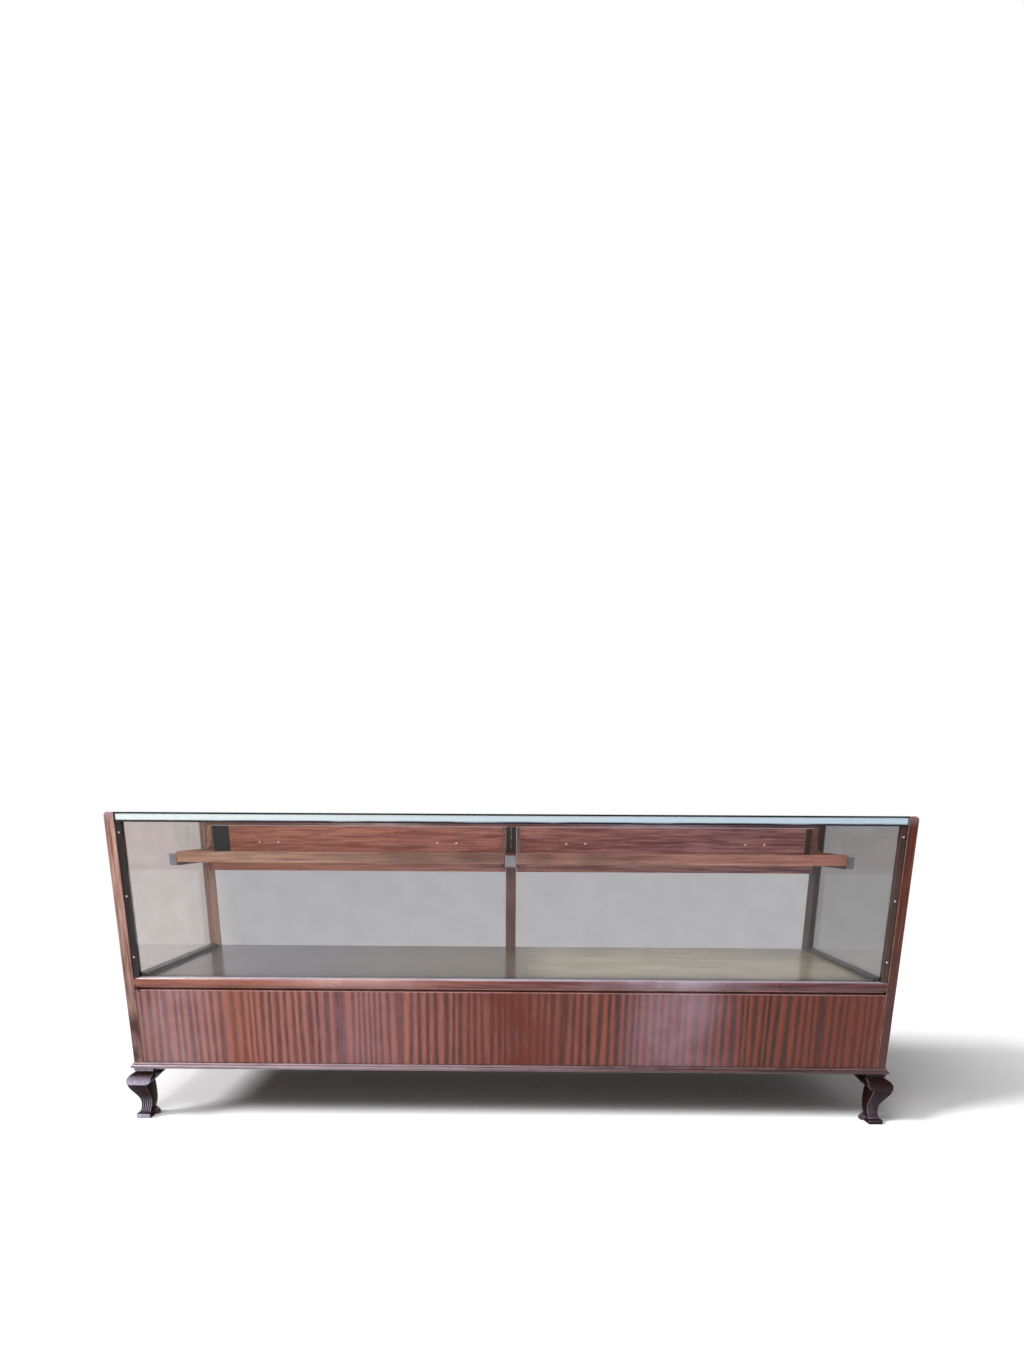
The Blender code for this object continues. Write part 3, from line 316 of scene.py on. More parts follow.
@dataclass(frozen=True)
class WoodFinish:
    """A polished wood, drawn from its growth bands, its pores, its worn polish and a painted sheen on
    its arrises.

    The counter stood with one end in the light, so the polish has gone pale towards the left:
    Each colour is given for the left end and for the right end: the paler, pinker left end is
    painted light and glare falling from that side. The pores are drawn several times as coarse
    as they grow, or they wouldn't show at this distance.
    """

    name: str
    grain: Grain
    dark: tuple[str, str]
    light: tuple[str, str]
    band_mm: float = 9.0
    pore_mm: float = 1.4
    pore_depth: float = 0.35
    pore_colour: str = "#5A3A38"
    roughness: float = 0.32
    coat: float = 0.12
    specular: float = 0.35
    fade: tuple[float, float] = (-1.0, 0.9)
    patches: tuple[Patch, ...] = ()
    arris_wear_and_sheen: str = "#D8B7A6"
    arris_wear_and_sheen_strength: float = 0.55
    stripe_mm: float = 0.0
    stripe_share: float = 0.0
    seed: float = 0.0

    def build(self) -> bpy.types.Material:
        """Make the material.

        Returns:
            Wood with long growth bands, fine pores that are also sunk a little, a pale band on
            the arrises that is worn polish and painted highlight, and a polish that is blotchy from old
            cloths.
        """
        nodes = Surface(self.name)
        place = nodes.place
        # The left colours are paler as painted light and glare from the left
        dark = nodes.between_ends(self.fade, self.dark, **SMOOTH)
        light = nodes.between_ends(self.fade, self.light, **SMOOTH)
        figure = self.figure(nodes)
        body = nodes.add("Mix", 2, {0: figure, 6: dark, 7: light}, **COLOUR)
        body = nodes.lay_patches(body, self.patches)
        pores = self.pores(nodes)
        sunk = nodes.add("Math", 0, {0: pores, 1: self.pore_depth}, operation='MULTIPLY')
        pored = nodes.add(
            "Mix", 2,
            {0: sunk, 6: body, 7: tone(self.pore_colour)}, blend_type='MULTIPLY', **COLOUR,
        )
        # Pale arrises: worn polish and a painted highlight
        arrises = nodes.worn_and_sheened_arrises(self.arris_wear_and_sheen_strength)
        with_pale_arrises = nodes.add("Mix", 2, {0: arrises, 6: pored, 7: tone(self.arris_wear_and_sheen)}, **COLOUR)
        smears = nodes.add("TexNoise", "Fac", {"Vector": place, "Scale": per_mm(70), "Detail": 3.0})
        gloss = nodes.add(
            "MapRange", "Result",
            {
                "Value": smears, "From Min": 0.3, "From Max": 0.7,
                "To Min": self.roughness - 0.06, "To Max": self.roughness + 0.10,
            },
        )
        relief = nodes.add(
            "Bump", "Normal", {"Strength": 0.5, "Distance": 0.0002, "Height": pores}, invert=True,
        )
        shader = nodes.add(
            "BsdfPrincipled", "BSDF",
            {
                "Base Color": with_pale_arrises, "Roughness": gloss, "Normal": relief,
                "Coat Weight": self.coat, "Coat Roughness": 0.12, "IOR": 1.5,
                "Specular IOR Level": self.specular,
            },
        )
        return nodes.finish(shader)

    def figure(self, nodes: Surface) -> Socket:
        """The share of light wood, from growth bands and the stripes of interlocked grain.

        Args:
            nodes: The material in the making.

        Returns:
            A value from 0, dark, to 1, light.
        """
        lengthways = nodes.add(
            "Mapping", "Vector",
            {"Vector": nodes.place, "Location": (self.seed,) * 3, "Scale": self.grain.value},
        )
        bands = nodes.add(
            "TexNoise", "Fac",
            {
                "Vector": lengthways, "Scale": per_mm(self.band_mm), "Detail": 4.0,
                "Roughness": 0.62, "Distortion": 0.5,
            },
        )
        cloudy = nodes.add(
            "TexNoise", "Fac", {"Vector": lengthways, "Scale": per_mm(90), "Detail": 2.0},
        )
        mixed = nodes.add("Math", 0, {0: cloudy, 1: 0.45, 2: bands}, operation='MULTIPLY_ADD')
        streaks = nodes.add(
            "MapRange", "Result", {"Value": mixed, "From Min": 0.515, "From Max": 0.935}, **SMOOTH,
        )
        if not self.stripe_share:
            return streaks
        across, deep = (nodes.add("SeparateXYZ", axis, {0: nodes.place}) for axis in ("X", "Y"))
        round_corner = nodes.add("Math", 0, {0: across, 1: deep}, operation='ADD')
        slow = nodes.add("TexNoise", "Fac", {"Vector": lengthways, "Scale": per_mm(110), "Detail": 2.0})
        wandering = nodes.add("Math", 0, {0: slow, 1: 0.09, 2: round_corner}, operation='MULTIPLY_ADD')
        turns = nodes.add(
            "Math", 0, {0: wandering, 1: 2 * math.pi * per_mm(self.stripe_mm)}, operation='MULTIPLY',
        )
        wave = nodes.add("Math", 0, {0: turns}, operation='SINE')
        stripes = nodes.add(
            "MapRange", "Result", {"Value": wave, "From Min": -0.9, "From Max": 0.9}, **SMOOTH,
        )
        return nodes.add("Mix", 0, {0: self.stripe_share, 2: streaks, 3: stripes})

    def pores(self, nodes: Surface) -> Socket:
        """Short dark pores along the grain.

        Args:
            nodes: The material in the making.

        Returns:
            A value from 0, between the pores, to 1, in them.
        """
        stretch = tuple(value if value == 1.0 else 0.045 for value in self.grain.value)
        lengthways = nodes.add("Mapping", "Vector", {"Vector": nodes.place, "Scale": stretch})
        noise = nodes.add(
            "TexNoise", "Fac", {"Vector": lengthways, "Scale": per_mm(self.pore_mm), "Detail": 2.0},
        )
        return nodes.add(
            "MapRange", "Result", {"Value": noise, "From Min": 0.52, "From Max": 0.70}, **SMOOTH,
        )


@dataclass(frozen=True)
class FootFinish:
    """Mahogany stained nearly black, with painted pale highlights on its outward faces and arrises.

    A band of painted highlight is given by the levels at which it starts, is full, starts to fade
    and is gone, and by its strength.
    """

    name: str = "dark_stained_foot_wood"
    dark: str = "#0C0607"
    light: str = "#2C1614"
    highlight_tone: tuple[str, str] = ("#BFB4CA", "#4C4048")
    highlight_share: tuple[float, float] = (0.90, 0.30)
    roughness: float = 0.30
    specular: tuple[float, float] = (0.03, 0.18)
    arris_highlight: str = "#B4A8B8"
    ends: tuple[float, float] = (-1.1, 1.1)
    highlight_bands: tuple[tuple[float, ...], ...] = (
        (0.111, 0.116, 0.119, 0.146, 1.0),
        (0.151, 0.153, 0.170, 0.180, 1.0),
        (0.019, 0.023, 0.045, 0.080, 0.55),
        (-0.020, 0.002, 0.0125, 0.0145, 1.0),
    )

    def build(self) -> bpy.types.Material:
        """Make the material.

        Returns:
            Dark wood whose lower hood, ankle, toe and cap have a lavender painted highlight on the
            faces that look outwards, stronger on the left feet where the light falls, and a pale
            painted highlight along the arrises.
        """
        nodes = Surface(self.name)
        place = nodes.place
        lengthways = nodes.add("Mapping", "Vector", {"Vector": place, "Scale": Grain.ALONG_Z.value})
        streaks = nodes.add(
            "TexNoise", "Fac", {"Vector": lengthways, "Scale": per_mm(4), "Detail": 3.0},
        )
        wood = nodes.add("Mix", 2, {0: streaks, 6: tone(self.dark), 7: tone(self.light)}, **COLOUR)
        level = nodes.add("SeparateXYZ", "Z", {0: place})
        # Painted highlight bands on the faces that look outwards
        height = 0.0
        for bottom, full, fading, top, strength in self.highlight_bands:
            rise = nodes.add(
                "MapRange", "Result",
                {"Value": level, "From Min": bottom, "From Max": full, "To Max": strength}, **SMOOTH,
            )
            fall = nodes.add(
                "MapRange", "Result", {"Value": level, "From Min": top, "From Max": fading}, **SMOOTH,
            )
            height = nodes.add("Math", 0, {0: rise, 1: fall, 2: height}, operation='MULTIPLY_ADD')
        normal = nodes.add("NewGeometry", "Normal")
        facing = nodes.add("VectorMath", "Vector", {0: normal, 1: place}, operation='MULTIPLY')
        outwards = height
        for axis, low, high in (("X", -0.50, -0.15), ("Y", -0.12, -0.04)):
            turned = nodes.add("SeparateXYZ", axis, {0: facing})
            clear = nodes.add(
                "MapRange", "Result", {"Value": turned, "From Min": low, "From Max": high},
            )
            outwards = nodes.add("Math", 0, {0: outwards, 1: clear}, operation='MULTIPLY')
        along = nodes.add(
            "MapRange", "Result",
            {
                "Value": nodes.along_counter(self.ends),
                "To Min": self.highlight_share[0], "To Max": self.highlight_share[1],
            },
        )
        highlight_breakup = nodes.add("TexNoise", "Fac", {"Vector": place, "Scale": per_mm(9), "Detail": 4.0})
        broken = nodes.add(
            "MapRange", "Result", {"Value": highlight_breakup, "From Min": 0.3, "From Max": 0.65, "To Min": 0.6},
        )
        strength = nodes.add("Math", 0, {0: outwards, 1: along}, operation='MULTIPLY')
        amount = nodes.add("Math", 0, {0: strength, 1: broken}, operation='MULTIPLY')
        highlight_tone = nodes.between_ends(self.ends, self.highlight_tone)
        colour = nodes.add("Mix", 2, {0: amount, 6: wood, 7: highlight_tone}, **COLOUR)
        # Pale painted highlight along the arrises
        arrises = nodes.worn_and_sheened_arrises(0.8, 0.0016)
        with_pale_arrises = nodes.add("Mix", 2, {0: arrises, 6: colour, 7: tone(self.arris_highlight)}, **COLOUR)
        relief = nodes.add("Bump", "Normal", {"Strength": 0.3, "Distance": 0.0002, "Height": streaks})
        gloss = nodes.add(
            "MapRange", "Result",
            {"Value": amount, "To Min": self.specular[0], "To Max": self.specular[1]},
        )
        shader = nodes.add(
            "BsdfPrincipled", "BSDF",
            {
                "Base Color": with_pale_arrises, "Roughness": self.roughness, "Normal": relief,
                "Specular IOR Level": gloss,
            },
        )
        return nodes.finish(shader)


@dataclass(frozen=True)
class GlassFinish:
    """Float glass, clear through its faces and dark green at its cut edges."""

    name: str
    facing: Facing
    face: tuple[str, str]
    turn: tuple[float, float] = (-1.1, 1.1)
    edge: str = "#27322E"
    dust: str = "#EEEEEE"
    smear_mm: float = 60.0

    def build(self) -> bpy.types.Material:
        """Make the material.

        Returns:
            Smooth glass, tinted grey as painted shade for the dim room seen through it and smeared
            with old dust, with the long path through its edges shown as a dark green line.
        """
        nodes = Surface(self.name)
        flat = nodes.add("NewGeometry", "True Normal")
        facing = nodes.add(
            "VectorMath", "Value", {0: flat, 1: self.facing.value}, operation='DOT_PRODUCT',
        )
        square = nodes.add("Math", 0, {0: facing}, operation='ABSOLUTE')
        clear = nodes.add("MapRange", "Result", {"Value": square, "From Min": 0.80, "From Max": 0.95})
        smears = nodes.add(
            "TexNoise", "Fac",
            {"Vector": nodes.place, "Scale": per_mm(self.smear_mm), "Detail": 4.0},
        )
        # Grey tint: painted shade for the dim room seen through the pane
        face = nodes.between_ends(self.turn, self.face, **SMOOTH)
        wiped = nodes.add(
            "Mix", 2, {0: smears, 6: face, 7: tone(self.dust)}, blend_type='MULTIPLY', **COLOUR,
        )
        colour = nodes.add("Mix", 2, {0: clear, 6: tone(self.edge), 7: wiped}, **COLOUR)
        shader = nodes.add(
            "BsdfPrincipled", "BSDF",
            {"Base Color": colour, "Roughness": 0.0, "Transmission Weight": 1.0, "IOR": 1.45},
        )
        return nodes.finish(shader)


@dataclass(frozen=True)
class MetalFinish:
    """A bare or plated metal, brushed or rubbed, with tarnish in patches.

    The brush lines are drawn several times as coarse as real ones, or they wouldn't show.
    """

    name: str
    left: str
    right: str
    tarnish: str
    tarnish_share: float = 0.35
    roughness: float = 0.2
    brush: Grain = Grain.ALONG_X
    brush_mm: float = 1.0
    metallic: float = 1.0
    turn: tuple[float, float] = (-1.1, 1.0)
    patches: tuple[Patch, ...] = ()

    def build(self) -> bpy.types.Material:
        """Make the material.

        Returns:
            Metal with fine brush lines, dulled where it has tarnished.
        """
        nodes = Surface(self.name)
        place = nodes.place
        clean = nodes.between_ends(self.turn, (self.left, self.right))
        blotches = nodes.add("TexNoise", "Fac", {"Vector": place, "Scale": per_mm(18), "Detail": 5.0})
        dull = nodes.add(
            "MapRange", "Result",
            {"Value": blotches, "From Min": 0.45, "From Max": 0.70, "To Max": self.tarnish_share},
            **SMOOTH,
        )
        colour = nodes.add("Mix", 2, {0: dull, 6: clean, 7: tone(self.tarnish)}, **COLOUR)
        colour = nodes.lay_patches(colour, self.patches)
        lengthways = nodes.add("Mapping", "Vector", {"Vector": place, "Scale": self.brush.value})
        lines = nodes.add(
            "TexNoise", "Fac", {"Vector": lengthways, "Scale": per_mm(self.brush_mm), "Detail": 2.0},
        )
        rough = nodes.add("Math", 0, {0: dull, 1: 0.5, 2: self.roughness}, operation='MULTIPLY_ADD')
        relief = nodes.add("Bump", "Normal", {"Strength": 0.1, "Distance": 0.00008, "Height": lines})
        shader = nodes.add(
            "BsdfPrincipled", "BSDF",
            {
                "Base Color": colour, "Roughness": rough, "Metallic": self.metallic, "Normal": relief,
            },
        )
        return nodes.finish(shader)


@dataclass(frozen=True)
class DeckFinish:
    """The display deck: brown board under thick old varnish; its grey left part is partly a painted
    reflection, and its pale yellow part and gold streaks past the centre post are painted reflections.
    """

    name: str = "varnished_deck_board"
    left: str = "#56525A"
    middle: str = "#6C604C"
    right: str = "#ACA084"
    gold_reflection: str = "#CEC4A6"
    left_turn: tuple[float, float] = (-0.8, -0.1)
    right_turn: tuple[float, float] = (0.0, 0.16)

    def build(self) -> bpy.types.Material:
        """Make the material.

        Returns:
            A grey-brown board with level grain and painted yellow reflections past the centre post,
            under a varnish so glossy that it mirrors what stands on it.
        """
        nodes = Surface(self.name)
        place = nodes.place
        left = nodes.between_ends(self.left_turn, (self.left, self.middle), **SMOOTH)
        past_post = nodes.along_counter(self.right_turn, **SMOOTH)
        ground = nodes.add("Mix", 2, {0: past_post, 6: left, 7: tone(self.right)}, **COLOUR)
        lengthways = nodes.add("Mapping", "Vector", {"Vector": place, "Scale": Grain.ALONG_X.value})
        streaks = nodes.add(
            "TexNoise", "Fac",
            {"Vector": lengthways, "Scale": per_mm(12), "Detail": 5.0, "Distortion": 0.4},
        )
        grained = nodes.add(
            "MapRange", "Result",
            {"Value": streaks, "From Min": 0.35, "From Max": 0.65, "To Min": 0.70, "To Max": 1.12},
        )
        board = nodes.add("VectorMath", "Vector", {0: ground, "Scale": grained}, operation='SCALE')
        blotches = nodes.add("TexNoise", "Fac", {"Vector": place, "Scale": per_mm(80), "Detail": 4.0})
        # Slanted gold streaks of painted reflection past the centre post
        brushed = nodes.add(
            "Mapping", "Vector",
            {"Vector": place, "Rotation": (0.0, 0.0, 0.5), "Scale": (0.3, 1.0, 1.0)},
        )
        reflection_streaks = nodes.add("TexNoise", "Fac", {"Vector": brushed, "Scale": per_mm(60), "Detail": 4.0})
        reflection_share = nodes.add(
            "MapRange", "Result",
            {"Value": reflection_streaks, "From Min": 0.38, "From Max": 0.72, "To Max": 0.5}, **SMOOTH,
        )
        gold = nodes.add("Math", 0, {0: reflection_share, 1: past_post}, operation='MULTIPLY')
        colour = nodes.add("Mix", 2, {0: gold, 6: board, 7: tone(self.gold_reflection)}, **COLOUR)
        gloss = nodes.add(
            "MapRange", "Result",
            {"Value": blotches, "From Min": 0.35, "From Max": 0.65, "To Min": 0.14, "To Max": 0.26},
        )
        ripple = nodes.add("Bump", "Normal", {"Strength": 0.15, "Distance": 0.0004, "Height": blotches})
        shader = nodes.add(
            "BsdfPrincipled", "BSDF",
            {
                "Base Color": colour, "Roughness": gloss, "Normal": ripple,
                "Coat Weight": 0.3, "Coat Roughness": 0.12,
            },
        )
        return nodes.finish(shader)


@dataclass(frozen=True)
class FloorFinish:
    """A matt white studio floor that fades into the white round it."""

    name: str = "matt_white_floor"
    colour: str = "#F4F4F4"
    fade_from: float = 1.5
    fade_to: float = 3.0
    lift: float = 0.012

    def build(self) -> bpy.types.Material:
        """Make the material.

        Returns:
            White that takes the counter's shadow near it, and is plain white further off.
        """
        nodes = Surface(self.name)
        away = nodes.add("VectorMath", "Value", {0: nodes.place}, operation='LENGTH')
        far = nodes.add(
            "MapRange", "Result",
            {"Value": away, "From Min": self.fade_from, "From Max": self.fade_to}, **SMOOTH,
        )
        shown = nodes.seen_straight()
        matt = nodes.add("BsdfDiffuse", "BSDF", {"Color": tone(self.colour), "Roughness": 0.5})
        lift = nodes.add("Math", 0, {0: shown, 1: self.lift}, operation='MULTIPLY')
        glow = nodes.add("Emission", "Emission", {"Color": WHITE, "Strength": lift})
        near = nodes.add("AddShader", 0, {0: matt, 1: glow})
        white = nodes.add("Emission", "Emission", {"Color": WHITE, "Strength": 1.0})
        fade = nodes.add("Math", 0, {0: far, 1: shown}, operation='MULTIPLY')
        return nodes.finish(nodes.add("MixShader", 0, {0: fade, 1: near, 2: white}))


Finish = WoodFinish | FootFinish | GlassFinish | MetalFinish | DeckFinish | FloorFinish


@cache
def material_of(finish: Finish) -> bpy.types.Material:
    """The material of a finish, made at its first use and kept."""
    return finish.build()


# Uprights: French-polished mahogany, pink at the left end as painted light and glare and deep red-brown
# at the other, darker towards the bottom, with a lavender painted highlight along the tops
UPRIGHT = WoodFinish(
    "polished_mahogany_upright", Grain.ALONG_Z, ("#845448", "#3C1207"), ("#C39E92", "#6C2C16"),
    band_mm=7.0, seed=3.1,
    patches=(
        Patch(0.10, 0.75, "#46211E", 1.25, "Z"),
        Patch(0.925, 0.035, "#9C8890", 0.9, "Z"),
    ),
)
# Back posts: the same wood behind the glass; the dark patch in the middle is painted shade on the
# centre post between the trays
POST = WoodFinish(
    "polished_mahogany_post", Grain.ALONG_Z, ("#875D51", "#2C1614"), ("#B79485", "#4C3128"),
    band_mm=7.0, seed=4.6, patches=(Patch(0.0, 0.30, "#48201C", 0.75),),
)
# Level rails: the same polish with the grain lying down, lighter at the left end as painted light; the
# pale and lavender patches are painted highlights and reflections, the lavender top band a painted
# highlight, the pale bottom band painted light on the shaded lower edge
RAIL = WoodFinish(
    "polished_mahogany_rail", Grain.ALONG_X, ("#6B3529", "#472226"), ("#965F4F", "#74464A"),
    band_mm=10.0, arris_wear_and_sheen="#E4D6E2", arris_wear_and_sheen_strength=1.3, seed=7.7,
    patches=(
        Patch(-0.45, 0.30, "#C8A29E", 0.8),
        Patch(0.48, 0.34, "#A08E9A", 1.0),
        Patch(0.4475, 0.0062, "#9C929D", 1.6, "Z"),
        Patch(0.415, 0.0045, "#D8A898", 1.5, "Z"),
    ),
)
# Pieces that run from front to back
RAIL_SIDE = WoodFinish(
    "polished_mahogany_side_rail", Grain.ALONG_Y, ("#7C4032", "#4B2421"), ("#B07462", "#7A443A"),
    band_mm=9.0, seed=5.3,
)
# Base moulding: a grey-lavender painted sheen, strongest towards the lit left end
MOULDING = WoodFinish(
    "painted_sheen_mahogany_moulding", Grain.ALONG_X, ("#756269", "#311A1B"), ("#9C8790", "#5B3A3C"),
    band_mm=9.0, arris_wear_and_sheen="#E6D4DA", arris_wear_and_sheen_strength=0.35, seed=12.2,
)
MOULDING_SIDE = WoodFinish(
    "painted_sheen_mahogany_side_moulding", Grain.ALONG_Y, ("#756269", "#311A1B"), ("#9C8790", "#5B3A3C"),
    band_mm=9.0, arris_wear_and_sheen="#E6D4DA", arris_wear_and_sheen_strength=0.35, seed=10.6,
)
# Ribbon-stripe mahogany veneer: interlocked grain sliced on the quarter gives upright stripes
RIBBON = WoodFinish(
    "ribbon_stripe_veneer", Grain.ALONG_Z, ("#4C2024", "#1E0604"), ("#A2685C", "#7C3622"),
    band_mm=3.2, stripe_mm=24.5, stripe_share=0.62, roughness=0.34, coat=0.1,
    seed=1.9,
    # Patches: the orange and lavender ones are painted highlights and reflections, the dark ones make
    # the middle and the right end darker, and the pale band along the top edge is painted light on the
    # shade under the rail
    patches=(
        Patch(-0.80, 0.09, "#8E4A30", 0.60),
        Patch(0.02, 0.25, "#5E1D0B", 0.95),
        Patch(0.51, 0.22, "#A08292", 0.62),
        Patch(-1.02, 0.22, "#A98A92", 0.40),
        Patch(-0.45, 0.22, "#8E6A76", 0.35),
        Patch(1.02, 0.22, "#62200E", 0.60),
        Patch(0.415, 0.011, "#C6A0A6", 1.2, "Z"),
    ),
)
# Tray boards and doors: quartered veneer laid with the grain level
BOARD = WoodFinish(
    "level_grain_veneer", Grain.ALONG_X, ("#9C4E3A", "#72383A"), ("#DC9074", "#C48884"),
    band_mm=8.0, seed=11.4,
)
# Tray lips, sides and floors: plainer, paler wood with thin polish
TRAY = WoodFinish(
    "pale_tray_wood", Grain.ALONG_X, ("#764A38", "#6E4034"), ("#A6826C", "#A87262"),
    band_mm=8.0, roughness=0.42, coat=0.05, arris_wear_and_sheen="#D8A47C", arris_wear_and_sheen_strength=0.7, seed=2.2,
    patches=(Patch(0.0, 1.0, "#4E2C22", 0.85),),
)
TRAY_SIDE = WoodFinish(
    "pale_tray_side_wood", Grain.ALONG_Y, ("#8F5A44", "#6E3D30"), ("#C99C80", "#A66E5A"),
    band_mm=8.0, roughness=0.42, coat=0.15, seed=8.2,
)
# Feet: mahogany stained nearly black, with painted pale highlights along its curves and edges
FOOT_WOOD = FootFinish()
# Door tracks and tray runners: the same dark stain, worn by sliding
RUNNER_WOOD = WoodFinish(
    "dark_stained_runner_wood", Grain.ALONG_X, ("#24130F", "#1E100D"), ("#45291F", "#3A2018"),
    band_mm=6.0, roughness=0.4, coat=0.1, arris_wear_and_sheen="#6E5A4C", seed=6.1,
)
# Beads: ebonised hardwood, satin black with the grain just showing
BEAD_WOOD = WoodFinish(
    "ebonised_bead_wood", Grain.ALONG_Z, ("#0F0B0C", "#2A1A15"), ("#231A1B", "#4A3028"),
    band_mm=5.0, roughness=0.35, coat=0.25, arris_wear_and_sheen="#6E625F", arris_wear_and_sheen_strength=0.4, seed=9.9,
)
BEAD_WOOD_SIDE = WoodFinish(
    "ebonised_end_bead_wood", Grain.ALONG_Y, ("#141112", "#1F1512"), ("#2B2425", "#3B2922"),
    band_mm=5.0, roughness=0.35, coat=0.25, arris_wear_and_sheen="#B9AFA6", arris_wear_and_sheen_strength=0.7, seed=9.1,
)
# Deck: board under thick varnish, painted grey at the left and pale yellow with gold streaks past the
# centre post as painted reflections
DECK = DeckFinish()
# Panes: float glass tinted grey as painted shade for the dim room seen through them, lighter at the
# left end, smeared by old dust and hands, dark green along its cut edges
FRONT_PANE = GlassFinish("float_glass_front", Facing.FORWARDS, ("#D0CCCB", "#B4B3B5"), (-0.98, -0.76))
END_PANE = GlassFinish("float_glass_end", Facing.SIDEWAYS, ("#FFFAF8", "#D9D8D6"))
TOP_PANE = GlassFinish("float_glass_top", Facing.UPWARDS, ("#EEF1F0", "#EEF1F0"))
# Top strips: nickel plate on brass angle, polished, painted near white and going blue at the far end as
# a painted reflection of the sky
STRIP = MetalFinish(
    "polished_nickel_strip", "#F2FBFB", "#D8EEFF", "#8E9598", tarnish_share=0.06, roughness=0.10,
    metallic=0.55,
)
# The front strip: the same plate, with painted shade along its lower edge and at its ends
STRIP_FRONT = MetalFinish(
    "polished_nickel_front_strip", "#F2FBFB", "#D8EEFF", "#8E9598", tarnish_share=0.06,
    roughness=0.10, metallic=0.55,
    patches=(
        Patch(0.8977, 0.0085, "#30303A", 2.5, "Z"),
        Patch(-1.1157, 0.008, "#17171C", 2.5),
        Patch(1.1157, 0.006, "#4A4A58", 2.5),
    ),
)
# Handles: cast brass gone brown in the hollows
BRASS = MetalFinish(
    "aged_cast_brass", "#C9A356", "#C9A356", "#5A4222", tarnish_share=0.7, roughness=0.28,
)
# Screw heads: zinc-plated steel, bright where the driver has rubbed
SCREW_STEEL = MetalFinish(
    "zinc_plated_screw_steel", "#D9DCE0", "#D9DCE0", "#6F6A66", tarnish_share=0.5, roughness=0.25,
)
# Nuts inside the trays: nickel, painted white so that they show bright as a painted glint
NUT_NICKEL = MetalFinish(
    "bright_nickel_nut", "#FFFFFF", "#FFFFFF", "#C9C6C0", tarnish_share=0.2, roughness=0.3,
    metallic=0.3,
)
# Arm tips: grey enamel brushed over the end grain
TIP_PAINT = MetalFinish(
    "brushed_grey_enamel", "#7C7A80", "#6C6A70", "#55504F", tarnish_share=0.6, roughness=0.45,
    brush=Grain.ALONG_Z, brush_mm=1.5, metallic=0.0,
)

# The CAD nodes that are shown as they are. In a pair's name the braces stand for left or right
SINGLE_FINISHES: dict[str, Finish] = {
    "centre_post": POST, "back_top_rail": RAIL, "tray_arm_centre": RAIL_SIDE, "partition": UPRIGHT,
    "front_panel": RIBBON, "deck": DECK, "bottom_board": RUNNER_WOOD, "door_track_bottom": RUNNER_WOOD,
    "door_track_top": RUNNER_WOOD, "top_strip_front": STRIP_FRONT, "top_glass": TOP_PANE,
    "front_glass": FRONT_PANE,
}
PAIR_FINISHES: dict[str, Finish] = {
    "front_stile_{}": UPRIGHT, "back_post_{}": POST, "back_mid_rail_{}": RAIL, "end_panel_{}": RIBBON,
    "top_strip_{}": STRIP, "end_glass_{}": END_PANE, "corner_bead_{}": BEAD_WOOD,
    "end_bead_{}": BEAD_WOOD_SIDE, "tray_arm_{}": RAIL_SIDE, "tray_runner_{}_outer": RUNNER_WOOD,
    "tray_runner_{}_inner": RUNNER_WOOD, "tray_{}_board": BOARD, "tray_{}_lip": TRAY,
    "tray_{}_floor": TRAY, "tray_{}_side_outer": TRAY_SIDE, "tray_{}_side_inner": TRAY_SIDE,
    "door_{}": BOARD,
}
CAD_FINISHES = SINGLE_FINISHES | {
    node.format(label): finish for node, finish in PAIR_FINISHES.items() for label, _ in ENDS
}


